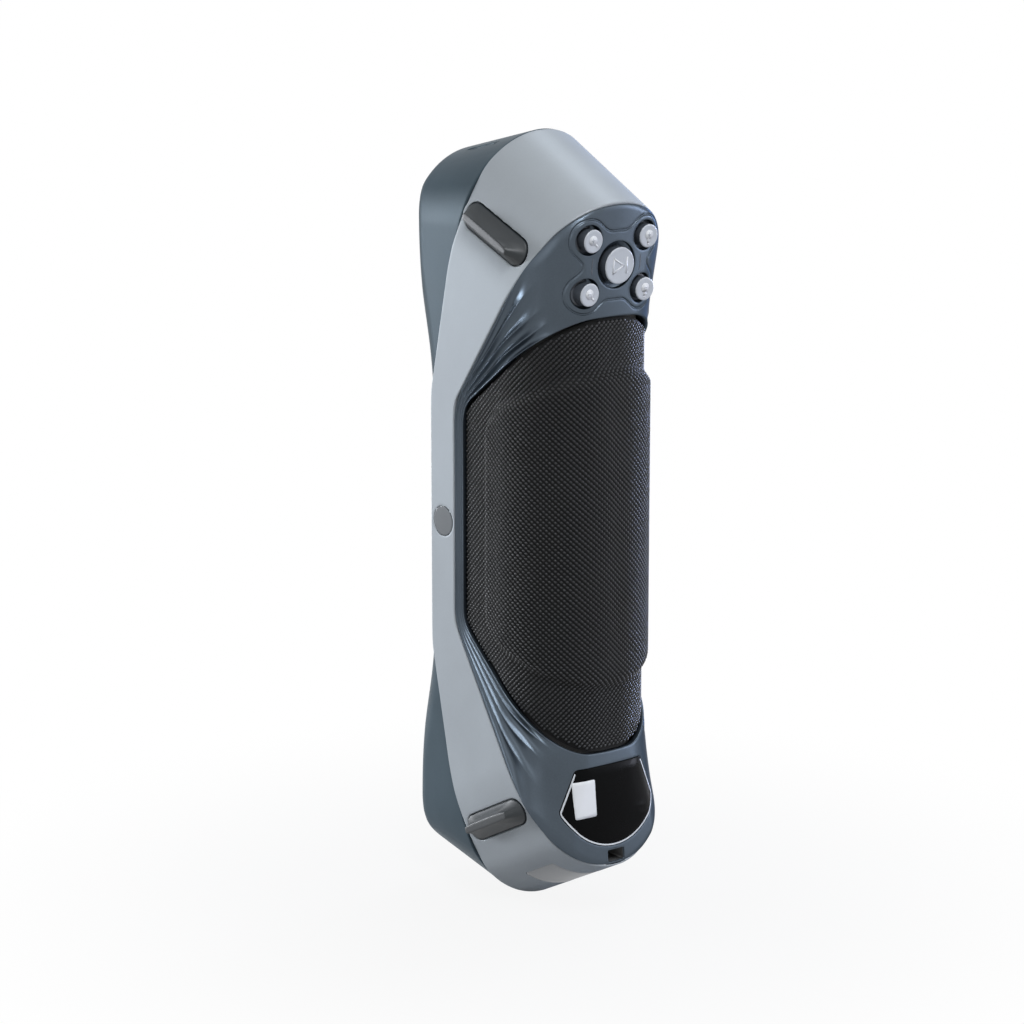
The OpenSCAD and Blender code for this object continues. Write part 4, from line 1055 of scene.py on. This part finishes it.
def materials():
    made = {
        # zinc casting, fine blasted and clear lacquered: an even silver grey with a soft, wide highlight
        "silver": surface("blasted_zinc_casting", "aeb4b8", "a6abaf", (0.38, 0.44), 0.38, 28.0, 0.006,
                          Metallic=0.15, Specular_IOR_Level=0.0, Specular_Tint=rgb("8a8c8e")),
        # polycarbonate moulding with sprayed metallic paint: dark slate that glints along the flutes
        "rear": surface("sprayed_metallic_paint", "525b64", "4a525a", (0.31, 0.37), 0.45, 22.0, 0.010,
                        Metallic=0.8, Specular_IOR_Level=0.1, Specular_Tint=rgb("8a8c8e")),
        # polycarbonate moulding with sprayed satin paint: a slightly bluer and flatter slate
        "front": surface("sprayed_satin_paint", "515e66", "48545b", (0.36, 0.42), 0.38, 22.0, 0.008,
                         Metallic=0.1, Specular_IOR_Level=0.05, Specular_Tint=rgb("6a6c6e")),
        # polyester cloth pulled over foam: black, and darker than the raised yarn as painted shade in the
        # gaps between the stitches
        "grip": surface("woven_polyester_ground_and_gap_shade", "090a0b", "060707", (0.62, 0.74), 0.26, 11.0, 0.030,
                        IOR=1.45, Specular_IOR_Level=0.2),
        # its raised yarn: small dark grey glints in slanting rows
        "nub": surface("raised_polyester_yarn", "16191d", "0f1114", (0.36, 0.46), 0.26, 17.0, 0.015,
                       IOR=1.48, Specular_IOR_Level=0.55),
        # polyester film printed black on its back: a deep black with a thin clean gloss
        "label": surface("back_printed_label_film", "08090a", "050506", (0.22, 0.28), 0.67, 17.0, 0.002,
                         IOR=1.5, Specular_IOR_Level=0.05),
        # screen printed white ink: the crisp light line round the label
        "rim": surface("screen_printed_white_line", "e4e7ea", "d9dcdf", (0.35, 0.45), 0.33, 11.0, 0.002,
                       IOR=1.5),
        # coated paper, left blank: a flat white patch on the label
        "sticker": surface("blank_coated_paper", "f4f5f6", "eeeff0", (0.45, 0.55), 0.33, 17.0, 0.003,
                           IOR=1.5),
        # rolled aluminium sheet, brushed: a mid grey a little warmer than the silver round it
        "plate": surface("brushed_aluminium_sheet", "85878a", "77797c", (0.36, 0.46), 0.31, 25.0, 0.006,
                         Metallic=0.6),
        # moulded silicone rubber: near black and even, so that the facets of the pads read
        "pad": surface("moulded_silicone_rubber", "20262a", "1b2023", (0.42, 0.50), 0.36, 17.0, 0.012,
                       IOR=1.5),
        # moulded nylon: a lighter grey than the pads, the same soft gloss
        "cap": surface("moulded_nylon_cap", "394045", "32383c", (0.42, 0.50), 0.36, 17.0, 0.008,
                       IOR=1.5),
        # die cast aluminium as it leaves the mould: pale grey with a grainy skin
        "chassis": surface("die_cast_aluminium", "9a9c9e", "87898b", (0.40, 0.52), 0.71, 12.0, 0.030,
                           Metallic=1.0),
        # glass fibre board under green solder mask: green, smooth, a little mottled
        "board": surface("green_solder_mask", "1d4a31", "163a27", (0.32, 0.42), 0.56, 5.0, 0.010,
                         IOR=1.55),
        # moulded nylon, black: the inside of the cable socket and the holders, nearly without gloss
        "black": surface("moulded_black_nylon", "131415", "0e0f10", (0.50, 0.60), 0.42, 17.0, 0.010,
                         IOR=1.5),
        # turned aluminium, black anodised: black with a metal's tight highlight
        "anodised": surface("black_anodised_aluminium", "1a1b1d", "121314", (0.34, 0.44), 0.38, 17.0,
                            0.006, Metallic=0.7),
        # ground glass with a blue coating: clear, mirror smooth, bluish
        "lens": surface("coated_lens_glass", "18223a", "121a2c", (0.02, 0.05), 1.11, 17.0, 0.0005,
                        IOR=1.6),
        # board under white solder mask: bright, so that the ring of lights shows behind the glass
        "lamp": surface("white_solder_mask", "d8dad6", "c6c9c4", (0.42, 0.50), 0.50, 6.7, 0.010,
                        IOR=1.5),
        # turned brass: yellow metal with a crisp highlight
        "brass": surface("turned_brass", "b5924c", "a07f3e", (0.22, 0.34), 0.45, 12.5, 0.006,
                         Metallic=1.0),
        # moulded epoxy of the chips: matt black with a sandy skin
        "chip": surface("moulded_chip_epoxy", "222325", "1a1b1c", (0.45, 0.55), 0.38, 11.0, 0.010,
                        IOR=1.5),
        # pressed steel, tin plated: light grey metal of the switches
        "tin": surface("tinned_pressed_steel", "b9babb", "a2a3a5", (0.28, 0.38), 0.50, 11.0, 0.006,
                       Metallic=1.0),
        # acrylic moulding, sprayed pearl grey: the pale faces of the buttons, softly shiny
        "button": surface("sprayed_pearl_grey", "cdd1d6", "c3c7cd", (0.26, 0.34), 0.42, 17.0, 0.004,
                          IOR=1.5),
        # acrylic moulding without paint: the darker sides of the buttons
        "side": surface("moulded_grey_acrylic", "4b5057", "3f444a", (0.34, 0.42), 0.42, 17.0, 0.004,
                        IOR=1.5),
        # polyimide film: amber, thin and glossy
        "ribbon": surface("amber_polyimide_film", "6e4420", "5c3819", (0.24, 0.34), 0.63, 11.0, 0.004,
                          IOR=1.55),
        # cold headed steel, zinc plated: the grey shine of the screws
        "steel": surface("zinc_plated_steel", "a7a9ac", "909295", (0.26, 0.38), 0.42, 11.0, 0.008,
                         Metallic=1.0),
        # pad printed white ink: the signs on the buttons and the marks beside them
        "white": surface("pad_printed_white_ink", "f4f5f7", "eceef0", (0.35, 0.45), 0.42, 17.0, 0.002,
                         IOR=1.5),
    }
    made["glass"] = smoked_glass()
    return made


SLOTS = {"dark_window": "glass", "cast_aluminium": "chassis", "circuit_board": "board",
         "black_plastic": "black", "black_anodised": "anodised", "lens_glass": "lens",
         "light_board": "lamp", "brass_body": "brass", "chip_black": "chip", "switch_metal": "tin",
         "gold_contact": "black", "ribbon_film": "ribbon", "steel_screw": "steel",
         "silver_metal": "silver", "front_plastic": "front", "rear_plastic": "rear",
         "grip_fabric": "grip", "label_black": "label", "plate_grey": "plate", "pad_rubber": "pad",
         "cap_rubber": "cap", "button_face": "button"}


def finish_nodes(made):
    """Every CAD node that still shows gets the procedural finish of its slot."""
    for part in frame["record"]["subparts"]:
        node = frame["nodes"][part["node"]]
        for k in range(len(node.material_slots)):
            node.data.materials[k] = made[SLOTS[part["material_slot"]]]


# The studio

def lamp(name, place, aim, size, power, colour, beam=180):
    """A soft box at place that faces aim. beam is the full angle of its light, in degrees."""
    light = bpy.data.lights.new(name, "AREA")
    light.spread = math.radians(beam)
    light.shape = "RECTANGLE"
    light.size, light.size_y = size
    light.energy = power
    light.color = rgb(colour)[:3]
    holder = bpy.data.objects.new(name, light)
    holder.location = place
    way = Vector(aim) - Vector(place)
    holder.rotation_euler = way.to_track_quat("-Z", "Y").to_euler()
    bpy.context.scene.collection.objects.link(holder)


def floor_material():
    """Pale matt floor that carries the scanner's shadow, and fades to plain white away from it."""
    material = surface("pale_studio_floor", "a2a4a6", "9c9ea0", (0.62, 0.7), 16.7, 333.0, 0.02,
                       IOR=1.45)
    tree = material.node_tree
    paint = [n for n in tree.nodes if n.type == "BSDF_PRINCIPLED"][0]
    out = [n for n in tree.nodes if n.type == "OUTPUT_MATERIAL"][0]
    place = add(tree, "TexCoord").outputs["Object"]
    far = add(tree, "VectorMath", {}, {0: place}, operation="LENGTH").outputs["Value"]
    fade = add(tree, "MapRange", {"From Min": 0.06, "From Max": 0.22, "To Min": 0.87}, {"Value": far},
               interpolation_type="SMOOTHSTEP").outputs["Result"]
    seen = plain_rays(tree)
    share = add(tree, "Math", {}, {0: fade, 1: seen}, operation="MULTIPLY").outputs[0]
    white = add(tree, "Emission", {"Color": (1, 1, 1, 1), "Strength": 1.0})
    both_ways = add(tree, "MixShader", {}, {0: share, 1: paint.outputs[0], 2: white.outputs[0]})
    tree.links.new(both_ways.outputs[0], out.inputs["Surface"])
    return material


def plain_rays(tree):
    """1 for what the camera sees, straight or in metal and glass, and 0 for light on matt surfaces."""
    ray = add(tree, "LightPath").outputs
    one = add(tree, "Math", {}, {0: ray["Is Camera Ray"], 1: ray["Is Glossy Ray"]}, operation="MAXIMUM")
    return add(tree, "Math", {}, {0: one.outputs[0], 1: ray["Is Transmission Ray"]},
               operation="MAXIMUM").outputs[0]


def floor_sheet():
    """A pale floor under the scanner, far wider than the view."""
    steps = 13
    line = np.linspace(-6.0, 6.0, steps)
    x, y = np.meshgrid(line, line)
    points = np.stack([x.ravel(), y.ravel(), np.full(x.size, -0.1068)], axis=1)
    mesh = bpy.data.meshes.new("studio_floor")
    mesh.from_pydata(points.tolist(), [], [f[::-1] for f in grid_faces(steps, steps, False, False).tolist()])
    mesh.update()
    floor = bpy.data.objects.new("studio_floor", mesh)
    mesh.materials.append(floor_material())
    bpy.context.scene.collection.objects.link(floor)


def world():
    """White to the camera and in reflections, and a soft grey light on everything else."""
    sky = bpy.data.worlds.new("studio")
    sky.use_nodes = True
    tree = sky.node_tree
    tree.nodes.clear()
    seen = add(tree, "Background", {"Color": (1, 1, 1, 1), "Strength": 1.0})
    soft = add(tree, "Background", {"Color": rgb("dfe4ea"), "Strength": 0.15})
    both_skies = add(tree, "MixShader", {}, {0: plain_rays(tree), 1: soft.outputs[0], 2: seen.outputs[0]})
    add(tree, "OutputWorld", {}, {"Surface": both_skies.outputs[0]})
    bpy.context.scene.world = sky


def studio():
    scene = bpy.context.scene
    scene.view_settings.view_transform = "Standard"
    floor_sheet()
    world()
    lamp("high_light", (0.35, 0.55, 0.80), (0, 0, 0.0), (0.4, 0.4), 0.5, "f8fbff", 44)
    lamp("low_light", (0.47, -0.93, -0.02), (0, 0, -0.09), (0.3, 0.3), 0.55, "f4f8ff", 34)
    lamp("left_light", (0.92, 0.12, 0.14), (0, 0, 0.0), (0.4, 0.4), 0.06, "fbfcff", 44)
    lamp("back_light", (-0.62, 0.70, 0.40), (0, 0, 0.02), (0.42, 0.42), 0.12, "f8faff", 50)
    lamp("side_light", (-0.80, 0.56, 0.02), (0, 0, 0), (0.3, 0.22), 0.22, "e6ebff", 44)
    lamp("rim_light", (-0.94, -0.18, 0.08), (0, 0, 0), (0.2, 0.5), 0.75, "bccdff", 44)
    lamp("top_light", (-0.45, -0.15, 0.95), (0, 0, 0.1), (0.4, 0.4), 0.35, "f0f5ff", 60)


def camera():
    """The photo's place, 0.85 m away, a little above the middle and behind the scanner's right side."""
    lens = bpy.data.cameras.new("photo_camera")
    lens.lens = 109.7
    lens.sensor_width = 36.0
    lens.clip_start = 0.01
    lens.clip_end = 50.0
    holder = bpy.data.objects.new("photo_camera", lens)
    holder.location = (0.530682, 0.642359, 0.181612)
    holder.rotation_euler = Vector((-0.61486, -0.75997, -0.21069)).to_track_quat("-Z", "Y").to_euler()
    bpy.context.scene.collection.objects.link(holder)
    bpy.context.scene.camera = holder


def build():
    made = materials()
    finish_nodes(made)
    side_band(made["silver"])
    rear_shell(made["rear"])
    front_shell(made["front"])
    grip_bed(made["black"])
    grip_pad(made["grip"])
    grip_weave(made["nub"])
    buttons(made["button"], made["side"])
    icons(made["white"], made["button"])
    arcs(made["side"])
    pads(made["pad"])
    caps(made["cap"])
    socket_housing(made["black"])
    thin_plates(made["label"], made["rim"], made["plate"], made["sticker"])
    studio()
    camera()


build()
